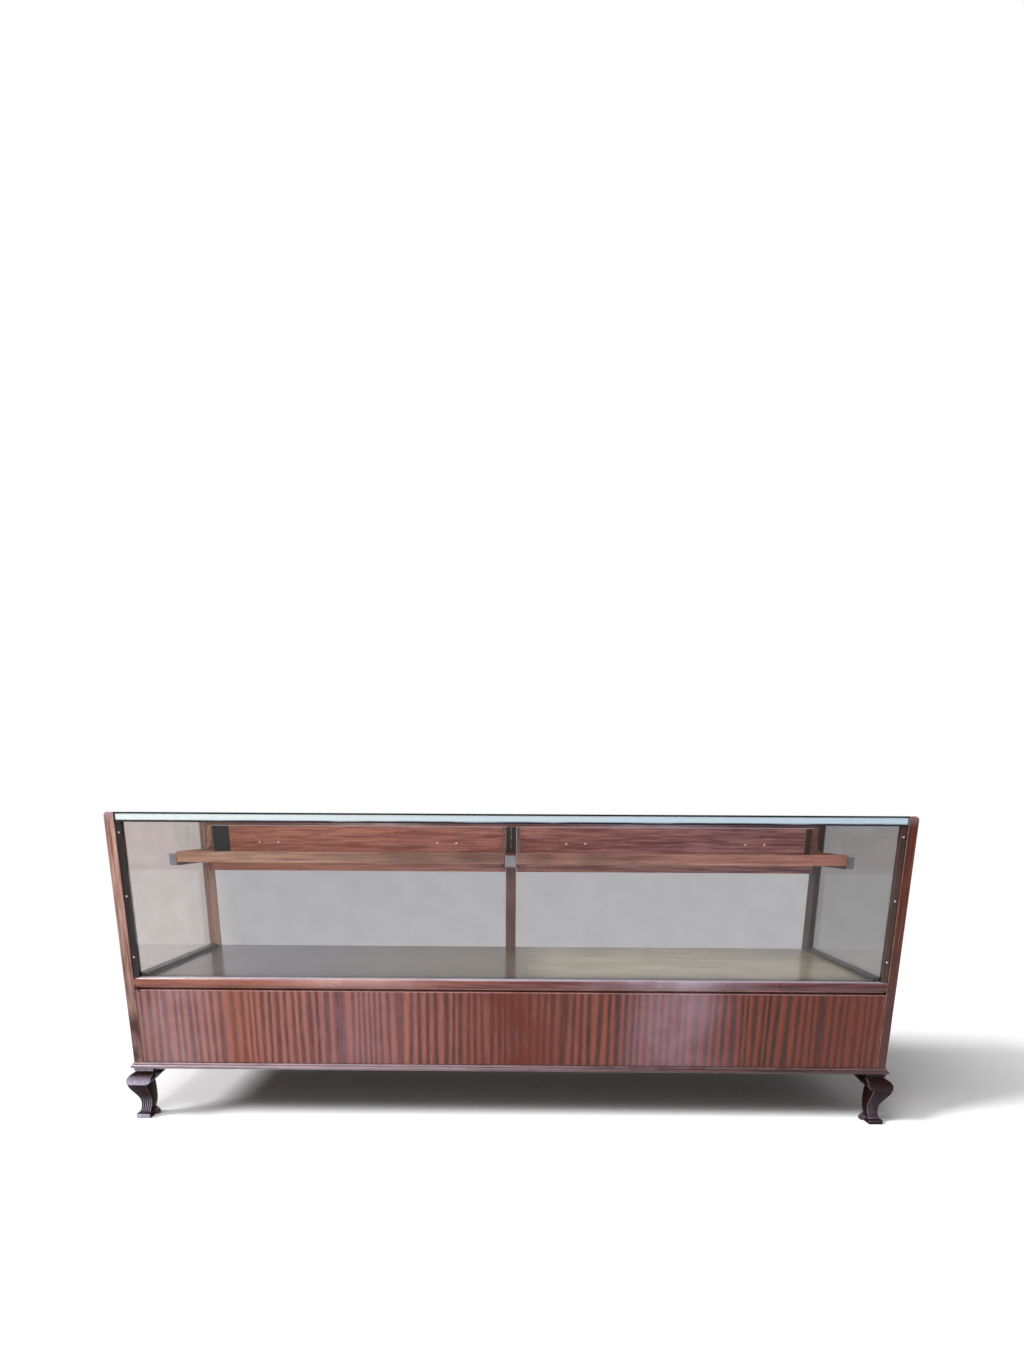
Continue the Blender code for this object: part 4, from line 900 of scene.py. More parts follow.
class Workpiece:
    """A piece on the bench, shaped with Blender's own modelling tools."""

    def __init__(self, item: bpy.types.Object, name: str) -> None:
        """Take up an object under its name and settle its place into its mesh.

        Args:
            item: The object.
            name: The piece's name.
        """
        self.item = item
        item.name = name
        item.data.name = name
        self.settle()

    @staticmethod
    def clear_bench() -> None:
        """Leave edit mode, with nothing selected."""
        if bpy.context.object and bpy.context.object.mode == 'EDIT':
            bpy.ops.object.mode_set(mode='OBJECT')
        bpy.ops.object.select_all(action='DESELECT')

    @classmethod
    def block(cls, name: str, low: Point, high: Point) -> "Workpiece":
        """Start from a block between two corners.

        Args:
            name: The piece's name.
            low: Its lowest corner.
            high: Its highest corner.

        Returns:
            The piece.
        """
        cls.clear_bench()
        size = [top - bottom for bottom, top in zip(low, high)]
        middle = [(top + bottom) / 2 for bottom, top in zip(low, high)]
        bpy.ops.mesh.primitive_cube_add(size=1.0, location=middle, scale=size)
        return cls(bpy.context.object, name)

    @classmethod
    def rod(
        cls, name: str, middle: Point, radius: float, length: float, turn: Point, sides: int = 24,
    ) -> "Workpiece":
        """Start from a rod.

        Args:
            name: The piece's name.
            middle: Its middle.
            radius: Its radius.
            length: Its length along its axis, which is Z before it is turned.
            turn: Its rotation about X, Y and Z.
            sides: How many sides it has.

        Returns:
            The piece.
        """
        cls.clear_bench()
        bpy.ops.mesh.primitive_cylinder_add(
            vertices=sides, radius=radius, depth=length, location=middle, rotation=turn,
        )
        return cls(bpy.context.object, name)

    @classmethod
    def from_node(cls, name: str, node: str) -> "Workpiece":
        """Start from a copy of a CAD node, with its loose triangles welded and cleaned.

        Args:
            name: The piece's name.
            node: The node to copy.

        Returns:
            The piece.
        """
        cls.clear_bench()
        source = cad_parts[node]
        item = bpy.data.objects.new(name, source.data.copy())
        bpy.context.scene.collection.objects.link(item)
        bpy.context.view_layer.objects.active = item
        item.select_set(True)
        piece = cls(item, name)
        with piece.editing('VERT'):
            bpy.ops.mesh.select_all(action='SELECT')
            bpy.ops.mesh.remove_doubles(threshold=WELD)
            bpy.ops.mesh.dissolve_limited(angle_limit=math.radians(FLAT_DEGREES))
        return piece

    def editing(self, mode: str) -> "Bench":
        """Open the piece in edit mode, picking points, edges or faces."""
        return Bench(self.item, mode)

    def take_up(self) -> None:
        """Make this the one selected and active object."""
        self.clear_bench()
        self.item.select_set(True)
        bpy.context.view_layer.objects.active = self.item

    def settle(self) -> None:
        """Put the object's place, turn and scale into its mesh."""
        self.take_up()
        bpy.ops.object.transform_apply(location=True, rotation=True, scale=True)

    def modify(self, kind: str, **settings: Any) -> None:
        """Add a modifier and apply it.

        Args:
            kind: The modifier's type.
            settings: Its settings.
        """
        self.take_up()
        modifier = self.item.modifiers.new(kind.lower(), kind)
        for name, value in settings.items():
            setattr(modifier, name, value)
        bpy.ops.object.modifier_apply(modifier=modifier.name)

    def combine(self, other: "Workpiece", operation: str) -> None:
        """Join another piece on, or cut it out, and use it up.

        Args:
            other: The piece that is used up.
            operation: UNION or DIFFERENCE.
        """
        self.modify('BOOLEAN', object=other.item, operation=operation, solver='EXACT')
        other.use_up()

    def use_up(self) -> None:
        """Take the piece away."""
        bpy.data.objects.remove(self.item, do_unlink=True)

    def cut_slot(self, half_length: float, front: float, depth: float, level: float = 0.0) -> None:
        """Cut a driver's slot across the front of a round head about X = 0.

        Args:
            half_length: Half of the slot's length.
            front: The place of the head's front along Y.
            depth: The slot's depth.
            level: The head's level.
        """
        cutter = Workpiece.block(
            "slot_cutter",
            (-half_length, front - depth, level - SLOT_HALF_WIDTH),
            (half_length, front + depth, level + SLOT_HALF_WIDTH),
        )
        self.combine(cutter, 'DIFFERENCE')

    def ease(self, width: float, degrees: float = 35.0) -> None:
        """Round every edge sharper than an angle.

        Args:
            width: How far from the edge the rounding starts.
            degrees: The angle.
        """
        self.modify(
            'BEVEL', width=width, segments=2, limit_method='ANGLE',
            angle_limit=math.radians(degrees), harden_normals=False,
        )

    def smooth(self, degrees: float = 35.0) -> None:
        """Shade smoothly over every edge blunter than an angle."""
        self.take_up()
        bpy.ops.object.shade_smooth_by_angle(angle=math.radians(degrees))

    def copy(
        self, name: str, shift: Point = (0.0, 0.0, 0.0), flip: Point = (1.0, 1.0, 1.0),
    ) -> "Workpiece":
        """Copy the piece with its own mesh, moved or mirrored.

        Args:
            name: The copy's name.
            shift: How far the copy is moved.
            flip: 1 or -1 for each axis, for a mirrored copy.

        Returns:
            The copy.
        """
        self.clear_bench()
        item = bpy.data.objects.new(name, self.item.data.copy())
        bpy.context.scene.collection.objects.link(item)
        item.location = shift
        item.scale = flip
        twin = Workpiece(item, name)
        if flip[0] * flip[1] * flip[2] < 0:
            with twin.editing('FACE'):
                bpy.ops.mesh.select_all(action='SELECT')
                bpy.ops.mesh.normals_make_consistent(inside=False)
        return twin

    def dress(self, finish: Finish, slot: str, body: str, *nodes: str) -> bpy.types.Object:
        """Finish the piece and fix it to its body.

        Args:
            finish: Its finish.
            slot: Not used.
            body: The CAD body that it rides on.
            nodes: The CAD nodes that it stands for.

        Returns:
            The finished object.
        """
        self.settle()
        self.item.data.materials.clear()
        self.item.data.materials.append(material_of(finish))
        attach(self.item, body)
        if nodes:
            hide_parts(*nodes)
        return self.item


class Bench:
    """A piece held open in edit mode, with ways to pick its parts by place or normal."""

    def __init__(self, item: bpy.types.Object, mode: str) -> None:
        """Note the object, and whether points, edges or faces are picked."""
        self.item = item
        self.mode = mode

    def __enter__(self) -> "Bench":
        """Open edit mode with nothing picked.

        Returns:
            The bench itself.
        """
        Workpiece.clear_bench()
        self.item.select_set(True)
        bpy.context.view_layer.objects.active = self.item
        bpy.ops.object.mode_set(mode='EDIT')
        bpy.ops.mesh.select_mode(type=self.mode)
        bpy.ops.mesh.select_all(action='DESELECT')
        return self

    def __exit__(self, *trouble: Any) -> None:
        """Leave edit mode."""
        bpy.ops.object.mode_set(mode='OBJECT')

    def pick(self, test: Callable[[Any], bool]) -> None:
        """Pick the points, edges or faces that pass a test, and nothing else.

        Args:
            test: Says yes or no to a bmesh point, edge or face.
        """
        bpy.ops.mesh.select_all(action='DESELECT')
        shape = bmesh.from_edit_mesh(self.item.data)
        for part in {'VERT': shape.verts, 'EDGE': shape.edges, 'FACE': shape.faces}[self.mode]:
            if test(part):
                part.select_set(True)
        shape.select_flush_mode()
        bmesh.update_edit_mesh(self.item.data)

    def pick_facing(self, way: Point) -> None:
        """Pick the faces that look along a way."""
        self.pick(lambda face: face.normal.dot(Vector(way)) > ALONG)

    def bisect(self, place: Point, normal: Point, **settings: Any) -> None:
        """Cut the whole piece along a plane, picking what lies on the cut."""
        bpy.ops.mesh.select_all(action='SELECT')
        bpy.ops.mesh.bisect(plane_co=place, plane_no=normal, **settings)

    @staticmethod
    def inset(*steps: tuple[float, float], **settings: Any) -> None:
        """Inset the picked faces step by step, each by a width and a depth."""
        for width, depth in steps:
            bpy.ops.mesh.inset(thickness=width, depth=depth, **settings)

    @staticmethod
    def extrude(offset: Point) -> None:
        """Pull the picked faces out along an offset."""
        bpy.ops.mesh.extrude_region_move(TRANSFORM_OT_translate={"value": offset})

    @staticmethod
    def resize(factors: Point, middle: Point) -> None:
        """Scale what is picked about a point."""
        bpy.ops.transform.resize(value=factors, center_override=middle)


@dataclass
class Studio:
    """Camera, lamps, white surroundings and floor, as the photograph was taken.

    A lamp in the case is given by its level, its height and its watts.
    """

    picture: tuple[int, int] = (1024, 1365)
    focal_px: float = 668.44
    centre_px: tuple[float, float] = (512.0, 970.0)
    place: Point = (0.0231, -2.1948, 0.9106)
    pitch: float = 0.2218
    yaw: float = 0.0073
    roll: float = 0.0058
    sensor_mm: float = 36.0
    ambient_low: float = 0.02
    ambient_high: float = 0.31
    mirror_low: float = 0.40
    mirror_high: float = 0.90
    mirror_left: float = 0.5
    sun_strength: float = 3.9
    sun_size: float = 17.0
    front_watts: float = 90.0
    case_lamps: tuple[tuple[float, float, float], ...] = ((0.70, 0.34, 9.5), (0.845, 0.07, 8.5))
    case_length: float = 2.12
    case_place: float = -0.245
    case_aim: float = 0.25
    sun_place: Point = (-3.4, -0.9, 2.5)
    sun_aim: Point = (0.0, 0.0, 0.0)
    front_size: float = 2.2
    front_place: Point = (-0.7, -1.8, 3.6)
    front_aim: Point = (-0.1, -0.2, 0.3)
    floor_radius: float = 14.0
    floor_sides: int = 96

    def build(self) -> None:
        """Make the whole studio."""
        self.build_camera()
        self.build_world()
        self.build_lamps()
        self.build_floor()
        bpy.context.scene.view_settings.view_transform = 'Standard'

    def build_camera(self) -> None:
        """The camera, as fitted to the counter's edges in the photograph."""
        long_side = max(self.picture)
        data = bpy.data.cameras.new("camera")
        data.sensor_width = self.sensor_mm
        data.lens = self.sensor_mm * self.focal_px / long_side
        data.shift_x = (self.picture[0] / 2 - self.centre_px[0]) / long_side
        data.shift_y = (self.centre_px[1] - self.picture[1] / 2) / long_side
        camera = bpy.data.objects.new("camera", data)
        camera.matrix_world = (
            Matrix.Translation(self.place)
            @ Matrix.Rotation(self.yaw, 4, 'Z')
            @ Matrix.Rotation(math.pi / 2 - self.pitch, 4, 'X')
            @ Matrix.Rotation(self.roll, 4, 'Z')
        )
        bpy.context.scene.collection.objects.link(camera)
        bpy.context.scene.camera = camera

    def build_world(self) -> None:
        """White to the eye, bright behind and to the left in reflections, and lit from above."""
        world = bpy.data.worlds.new("white_studio")
        world.use_nodes = True
        nodes = Nodes(world.node_tree)
        direction = nodes.add("TexCoord", "Generated")
        across, deep, high = (nodes.add("SeparateXYZ", axis, {0: direction}) for axis in "XYZ")
        overhead = nodes.add(
            "MapRange", "Result",
            {
                "Value": high, "From Min": 0.15, "From Max": 0.75,
                "To Min": self.ambient_low, "To Max": self.ambient_high,
            }, **SMOOTH,
        )
        behind = nodes.add(
            "MapRange", "Result",
            {
                "Value": deep, "From Min": -0.3, "From Max": 0.4,
                "To Min": self.mirror_low, "To Max": self.mirror_high,
            }, **SMOOTH,
        )
        leftward = nodes.add(
            "MapRange", "Result",
            {"Value": across, "From Min": 0.1, "From Max": -0.8, "To Max": self.mirror_left}, **SMOOTH,
        )
        mirrored = nodes.add("Math", 0, {0: behind, 1: leftward}, operation='ADD')
        glossy = nodes.add("LightPath", "Is Glossy Ray")
        matt = nodes.add("Mix", 0, {0: glossy, 2: overhead, 3: mirrored})
        strength = nodes.add("Mix", 0, {0: nodes.seen_straight(), 2: matt, 3: 1.0})
        light = nodes.add("Background", "Background", {"Color": WHITE, "Strength": strength})
        nodes.add("OutputWorld", None, {"Surface": light})
        bpy.context.scene.world = world

    def build_lamps(self) -> None:
        """A soft sun low on the left, a large lamp high in front, and two inside the glass.

        The panes stop the lamps outside, so the daylight that comes through them is given by
        two lamps behind the front pane, which only matt surfaces see. The upper one is above
        the tray lips, so that they shade the boards below them.
        """
        sun = bpy.data.lights.new("low_sun", 'SUN')
        sun.energy = self.sun_strength
        sun.angle = math.radians(self.sun_size)
        self.place_lamp(sun, self.sun_place, self.sun_aim)
        front = bpy.data.lights.new("front_lamp", 'AREA')
        front.shape = 'SQUARE'
        front.size = self.front_size
        front.energy = self.front_watts
        self.place_lamp(front, self.front_place, self.front_aim)
        for level, height, watts in self.case_lamps:
            case = bpy.data.lights.new("daylight_in_case", 'AREA')
            case.shape = 'RECTANGLE'
            case.size = self.case_length
            case.size_y = height
            case.energy = watts
            place, aim = (0.0, self.case_place, level), (0.0, self.case_aim, level)
            lamp = self.place_lamp(case, place, aim)
            lamp.visible_camera = False
            lamp.visible_glossy = False
            lamp.visible_transmission = False

    @staticmethod
    def place_lamp(data: bpy.types.Light, place: Point, aim: Point) -> bpy.types.Object:
        """Hang a lamp at a place, shining at a point.

        Args:
            data: The lamp.
            place: Where it hangs.
            aim: The point that it shines at.

        Returns:
            The lamp's object.
        """
        lamp = bpy.data.objects.new(data.name, data)
        lamp.location = place
        direction = Vector(aim) - Vector(place)
        lamp.rotation_euler = direction.to_track_quat('-Z', 'Y').to_euler()
        bpy.context.scene.collection.objects.link(lamp)
        return lamp

    def build_floor(self) -> None:
        """A round white floor."""
        Workpiece.clear_bench()
        bpy.ops.mesh.primitive_circle_add(
            vertices=self.floor_sides, radius=self.floor_radius, fill_type='NGON',
        )
        floor = Workpiece(bpy.context.object, "studio_floor")
        floor.item.data.materials.append(material_of(FloorFinish()))
        floor.item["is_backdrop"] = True


@dataclass
class Carcase:
    """The joinery that comes straight from the CAD model, and its rounded rails."""

    edge: float = 0.0007
    edge_degrees: float = 50.0
    rails: tuple[tuple[str, WoodFinish], ...] = (
        ("front_mid_rail", RAIL),
        ("end_mid_rail_left", RAIL_SIDE),
        ("end_mid_rail_right", RAIL_SIDE),
        ("base_moulding_front", MOULDING),
        ("base_moulding_left", MOULDING_SIDE),
        ("base_moulding_right", MOULDING_SIDE),
    )

    def build(self) -> Iterator[bpy.types.Object]:
        """Dress the CAD nodes that stay, and make the rails and mouldings.

        Returns:
            Each new piece in turn.
        """
        for node, finish in CAD_FINISHES.items():
            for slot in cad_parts[node].material_slots:
                slot.material = material_of(finish)
        for node, finish in self.rails:
            rail = Workpiece.from_node(f"{node}_worked", node)
            rail.ease(self.edge, degrees=self.edge_degrees)
            rail.smooth(TURNED_DEGREES)
            yield rail.dress(finish, "mahogany", "counter", node)


@dataclass
class Foot:
    """A square cabriole foot with an eared hood, a fluted shank and a scrolled heel.

    Lengths run outwards (+) and inwards (-) from the outer faces of the stile. The foot is
    modelled at the back right corner and mirrored to the others. A section is its level, its
    outer reach and its inner reach, and in the hood its level and its outer reach.
    """

    cap: tuple[Point, ...] = (
        (0.162, 0.0020, -0.0570), (0.161, 0.0030, -0.0580), (0.1555, 0.0030, -0.0580),
        (0.1528, 0.0018, -0.0572), (0.1510, 0.0000, -0.0560),
    )
    hood: tuple[tuple[float, float], ...] = (
        (0.1500, -0.0012), (0.1487, -0.0004), (0.1480, 0.0034), (0.1455, 0.0074), (0.1415, 0.0130),
        (0.1380, 0.0165), (0.1330, 0.0196), (0.1285, 0.0208), (0.1240, 0.0210), (0.1180, 0.0210),
        (0.1150, 0.0207), (0.1130, 0.0200),
    )
    ear_in: float = -0.0560
    ear_back: float = -0.0100
    ear_round: float = 0.0240
    ear_cuts: tuple[float, ...] = (11.0, 33.0, 56.0, 79.0)
    ear_clear: float = 0.004
    core_in: float = -0.0400
    shank_root: tuple[Point, ...] = ((0.1350, 0.0080, -0.0390), (0.1160, 0.0178, -0.0380))
    shank: tuple[Point, ...] = (
        (0.1127, 0.0194, -0.0380), (0.0960, 0.0187, -0.0395), (0.0690, -0.0050, -0.0400),
        (0.0480, -0.0038, -0.0380),
    )
    shank_steps: int = 11
    instep: tuple[Point, ...] = (
        (0.0480, -0.0038, -0.0380), (0.0369, -0.0042, -0.0370), (0.0229, -0.0025, -0.0330),
        (0.0175, 0.0015, -0.0310),
    )
    instep_steps: int = 7
    toe: tuple[Point, ...] = (
        (0.0190, -0.0010, -0.0315), (0.0172, 0.0000, -0.0315), (0.0158, 0.0004, -0.0320),
        (0.0150, 0.0050, -0.0338), (0.0138, 0.0084, -0.0348), (0.0125, 0.0095, -0.0350),
        (0.0040, 0.0095, -0.0350), (0.0014, 0.0085, -0.0342), (0.0000, 0.0068, -0.0325),
    )
    chamfer: float = 0.0025
    flutes: int = 5
    flute_depth: float = 0.0020
    scroll_radius: float = 0.0095
    scroll_in: float = -0.0325
    scroll_level: float = 0.0105
    scroll_length: float = 0.026
    scroll_sides: int = 28
    scroll_rim: tuple[float, float] = (0.0022, 0.0)
    scroll_eye: tuple[tuple[float, float], ...] = (
        (0.0006, -0.0012), (0.0028, 0.0), (0.0008, 0.0014),
    )
    wing_tip: float = -0.094
    wing_root: float = -0.034
    wing_height: float = 0.048
    wing_sag: float = 0.0035
    wing_steps: int = 6
    wing_edge: float = 0.003
    wing_thickness: float = 0.018
    wing_setback: float = 0.016
    smooth_degrees: float = 38.0
    corner: tuple[float, float] = (HALF_LENGTH, BACK)

    def build(self) -> Iterator[bpy.types.Object]:
        """Model one foot and mirror it to all four corners.

        Returns:
            Each foot in turn.
        """
        pattern = self.carve()
        for row, side_y in (("front", -1), ("back", 1)):
            for label, side_x in ENDS:
                node = f"foot_{row}_{label}"
                foot = pattern.copy(f"{node}_carved", flip=(side_x, side_y, 1.0))
                foot.smooth(self.smooth_degrees)
                yield foot.dress(FOOT_WOOD, "dark_mahogany", "counter", node)
        pattern.use_up()

    @staticmethod
    def point_on(axis: int, place: float, level: float = 0.0, aside: float = 0.0) -> Point:
        """Make a point from its place along one level axis, its level and its other place.

        Args:
            axis: 0 for X, 1 for Y.
            place: The point's place along that axis.
            level: Its place along Z.
            aside: Its place along the other level axis.

        Returns:
            The point.
        """
        point = [aside, aside, level]
        point[axis] = place
        return tuple(point)

    def at(self, outer: float, inner: float, level: float) -> tuple[Vector, float]:
        """The middle and width of a square section, from its outer and inner reach."""
        middle = (outer + inner) / 2
        return Vector((self.corner[0] + middle, self.corner[1] + middle, level)), outer - inner

    def stack(self, name: str, rings: list[Point], fluted: bool = False) -> Workpiece:
        """Build a solid downwards from square sections.

        Args:
            name: The solid's name.
            rings: The sections, from the top.
            fluted: Whether its two outer faces are fluted.

        Returns:
            The solid, with its four long corners cut.
        """
        (top, outer, inner), (level, _, _) = rings[:2]
        middle, width = self.at(outer, inner, top)
        half = width / 2
        piece = Workpiece.block(
            name,
            (middle.x - half, middle.y - half, level),
            (middle.x + half, middle.y + half, top),
        )
        with piece.editing('EDGE') as bench:
            bench.pick(lambda edge: abs(edge.verts[0].co.z - edge.verts[1].co.z) > HAIR)
            bpy.ops.mesh.bevel(offset=self.chamfer, segments=2, affect='EDGES')
        if fluted:
            for axis in (0, 1):
                self.flute(piece, axis, self.corner[axis] + outer, self.corner[1 - axis] + outer, width)
        with piece.editing('FACE') as bench:
            bench.pick_facing(TO_FLOOR)
            spot, size = middle, width
            for number, (level, outer, inner) in enumerate(rings[1:]):
                target, new_size = self.at(outer, inner, level)
                aside = (target.x - spot.x, target.y - spot.y)
                if number:
                    bench.extrude((*aside, level - spot.z))
                else:
                    bpy.ops.transform.translate(value=(*aside, 0.0))
                factor = new_size / size
                bench.resize((factor, factor, 1.0), tuple(target))
                spot, size = target, new_size
        return piece

    def flute(self, piece: Workpiece, axis: int, face: float, edge_place: float, width: float) -> None:
        """Divide an outer face into strips and sink every other line between them.

        Args:
            piece: The block whose face is fluted.
            axis: The axis that the face looks along.
            face: The face's place on that axis.
            edge_place: The place of the face's outer edge on the other axis.
            width: The width of the block.
        """
        other = 1 - axis
        cuts = 2 * self.flutes - 1
        flat = width - 2 * self.chamfer
        with piece.editing('EDGE') as bench:
            bench.pick(
                lambda edge: abs(edge.verts[0].co.z - edge.verts[1].co.z) < HAIR
                and edge.calc_length() > flat / 2
                and all(abs(point.co[axis] - face) < HAIR for point in edge.verts)
            )
            bpy.ops.mesh.subdivide(number_cuts=cuts)
        step = flat / (cuts + 1)
        start = edge_place - self.chamfer

        def sunk(point: Any) -> bool:
            """Say whether a point lies on a line that is to be sunk.

            Args:
                point: A bmesh point.

            Returns:
                Yes for every other line on the fluted face.
            """
            place = (start - point.co[other]) / step
            inside = 0.5 < place < cuts + 0.5 and round(place) % 2 == 1
            return inside and abs(point.co[axis] - face) < HAIR

        with piece.editing('VERT') as bench:
            bench.pick(sunk)
            bpy.ops.transform.translate(value=self.point_on(axis, -self.flute_depth))

    def carve(self) -> Workpiece:
        """Model the whole foot at the back right corner.

        Returns:
            The foot, to be mirrored to the others.
        """
        rings = list(self.cap) + [(level, outer, self.ear_in) for level, outer in self.hood]
        foot = self.stack("foot_pattern", rings)
        self.round_ears(foot)
        self.hollow_ears(foot)
        for piece in self.carve_wings():
            foot.combine(piece, 'UNION')
        shank = list(self.shank_root) + self.curve(self.shank, self.shank_steps)
        shank += self.curve(self.instep, self.instep_steps)[1:]
        foot.combine(self.stack("shank_pattern", shank, fluted=True), 'UNION')
        foot.combine(self.stack("toe_pattern", list(self.toe)), 'UNION')
        foot.combine(self.carve_scroll(), 'UNION')
        return foot

    def round_ears(self, foot: Workpiece) -> None:
        """Round the hood's inner lower corners, so that its two outer faces end in ears.

        Args:
            foot: The foot with its cap and hood.
        """
        reach = self.ear_round
        level = self.hood[-1][0] + reach
        with foot.editing('FACE') as bench:
            for axis in (0, 1):
                middle = Vector(self.point_on(axis, self.corner[axis] + self.ear_in + reach, level))
                for degrees in self.ear_cuts:
                    angle = math.radians(degrees)
                    normal = Vector(self.point_on(axis, -math.cos(angle), -math.sin(angle)))
                    bench.bisect(middle + normal * reach, normal, use_fill=True, clear_outer=True)

    def hollow_ears(self, foot: Workpiece) -> None:
        """Cut away the wood behind both ears, up to the cap.

        Args:
            foot: The foot with its cap and hood.
        """
        far = self.ear_in - self.ear_clear
        under_cap = self.hood[0][0]
        low = (self.corner[0] + far, self.corner[1] + far, self.hood[-1][0] - self.ear_clear)
        for axis in (0, 1):
            high = self.point_on(
                axis, self.corner[axis] + self.core_in, under_cap,
                self.corner[1 - axis] + self.ear_back,
            )
            foot.combine(Workpiece.block("ear_cutter", low, high), 'DIFFERENCE')

    @staticmethod
    def curve(knots: tuple[Point, ...], steps: int) -> list[Point]:
        """Sections along a cubic curve, both ends included.

        Args:
            knots: The sections that the curve starts and ends at, and two between that pull it.
            steps: How many steps the curve is divided into.

        Returns:
            The sections, from the top.
        """
        rings = []
        for step in range(steps + 1):
            t = step / steps
            weights = ((1 - t) ** 3, 3 * t * (1 - t) ** 2, 3 * t ** 2 * (1 - t), t ** 3)
            rings.append(tuple(
                sum(weight * knot[axis] for weight, knot in zip(weights, knots)) for axis in range(3)
            ))
        return rings

    def carve_scroll(self) -> Workpiece:
        """The rolled heel behind the toe, with a raised eye at each end of the roll.

        Returns:
            The heel.
        """
        middle = (
            self.corner[0] + self.scroll_in, self.corner[1] + self.scroll_in, self.scroll_level,
        )
        scroll = Workpiece.rod(
            "scroll_pattern", middle, self.scroll_radius, self.scroll_length,
            (math.pi / 2, 0.0, math.pi / 4), self.scroll_sides,
        )
        with scroll.editing('FACE') as bench:
            bench.pick(lambda face: len(face.verts) > 4)
            bench.inset(self.scroll_rim)
            bench.inset(*self.scroll_eye, use_individual=True)
        return scroll

    def carve_wings(self) -> list[Workpiece]:
        """Two brackets under the carcase, whose lower edge is a slightly hollow slope.

        Returns:
            The bracket along X and the bracket along Y.
        """
        wings = []
        top = self.cap[0][0] - GAP
        bottom = top - self.wing_edge
        for axis in (0, 1):
            tip = self.corner[axis] + self.wing_tip
            root = self.corner[axis] + self.wing_root
            face = self.corner[1 - axis] - self.wing_setback
            wing = Workpiece.block(
                "wing_pattern", self.point_on(axis, tip, bottom, face - self.wing_thickness),
                self.point_on(axis, root, top, face),
            )
            step = (self.core_in - self.wing_tip) / self.wing_steps
            places = [tip + step * number for number in range(self.wing_steps + 1)]
            with wing.editing('VERT') as bench:
                for place in places[1:-1]:
                    bench.bisect(self.point_on(axis, place), self.point_on(axis, 1.0))
                for number, place in enumerate(places):
                    share = number / self.wing_steps
                    drop = self.wing_height * share - 4 * self.wing_sag * share * (1 - share)
                    end = place if share < 1 else root
                    bench.pick(
                        lambda point: point.co.z < bottom + self.wing_edge / 2
                        and place - HAIR < point.co[axis] < end + HAIR
                    )
                    bpy.ops.transform.translate(value=(0.0, 0.0, -drop))
            wings.append(wing)
        return wings


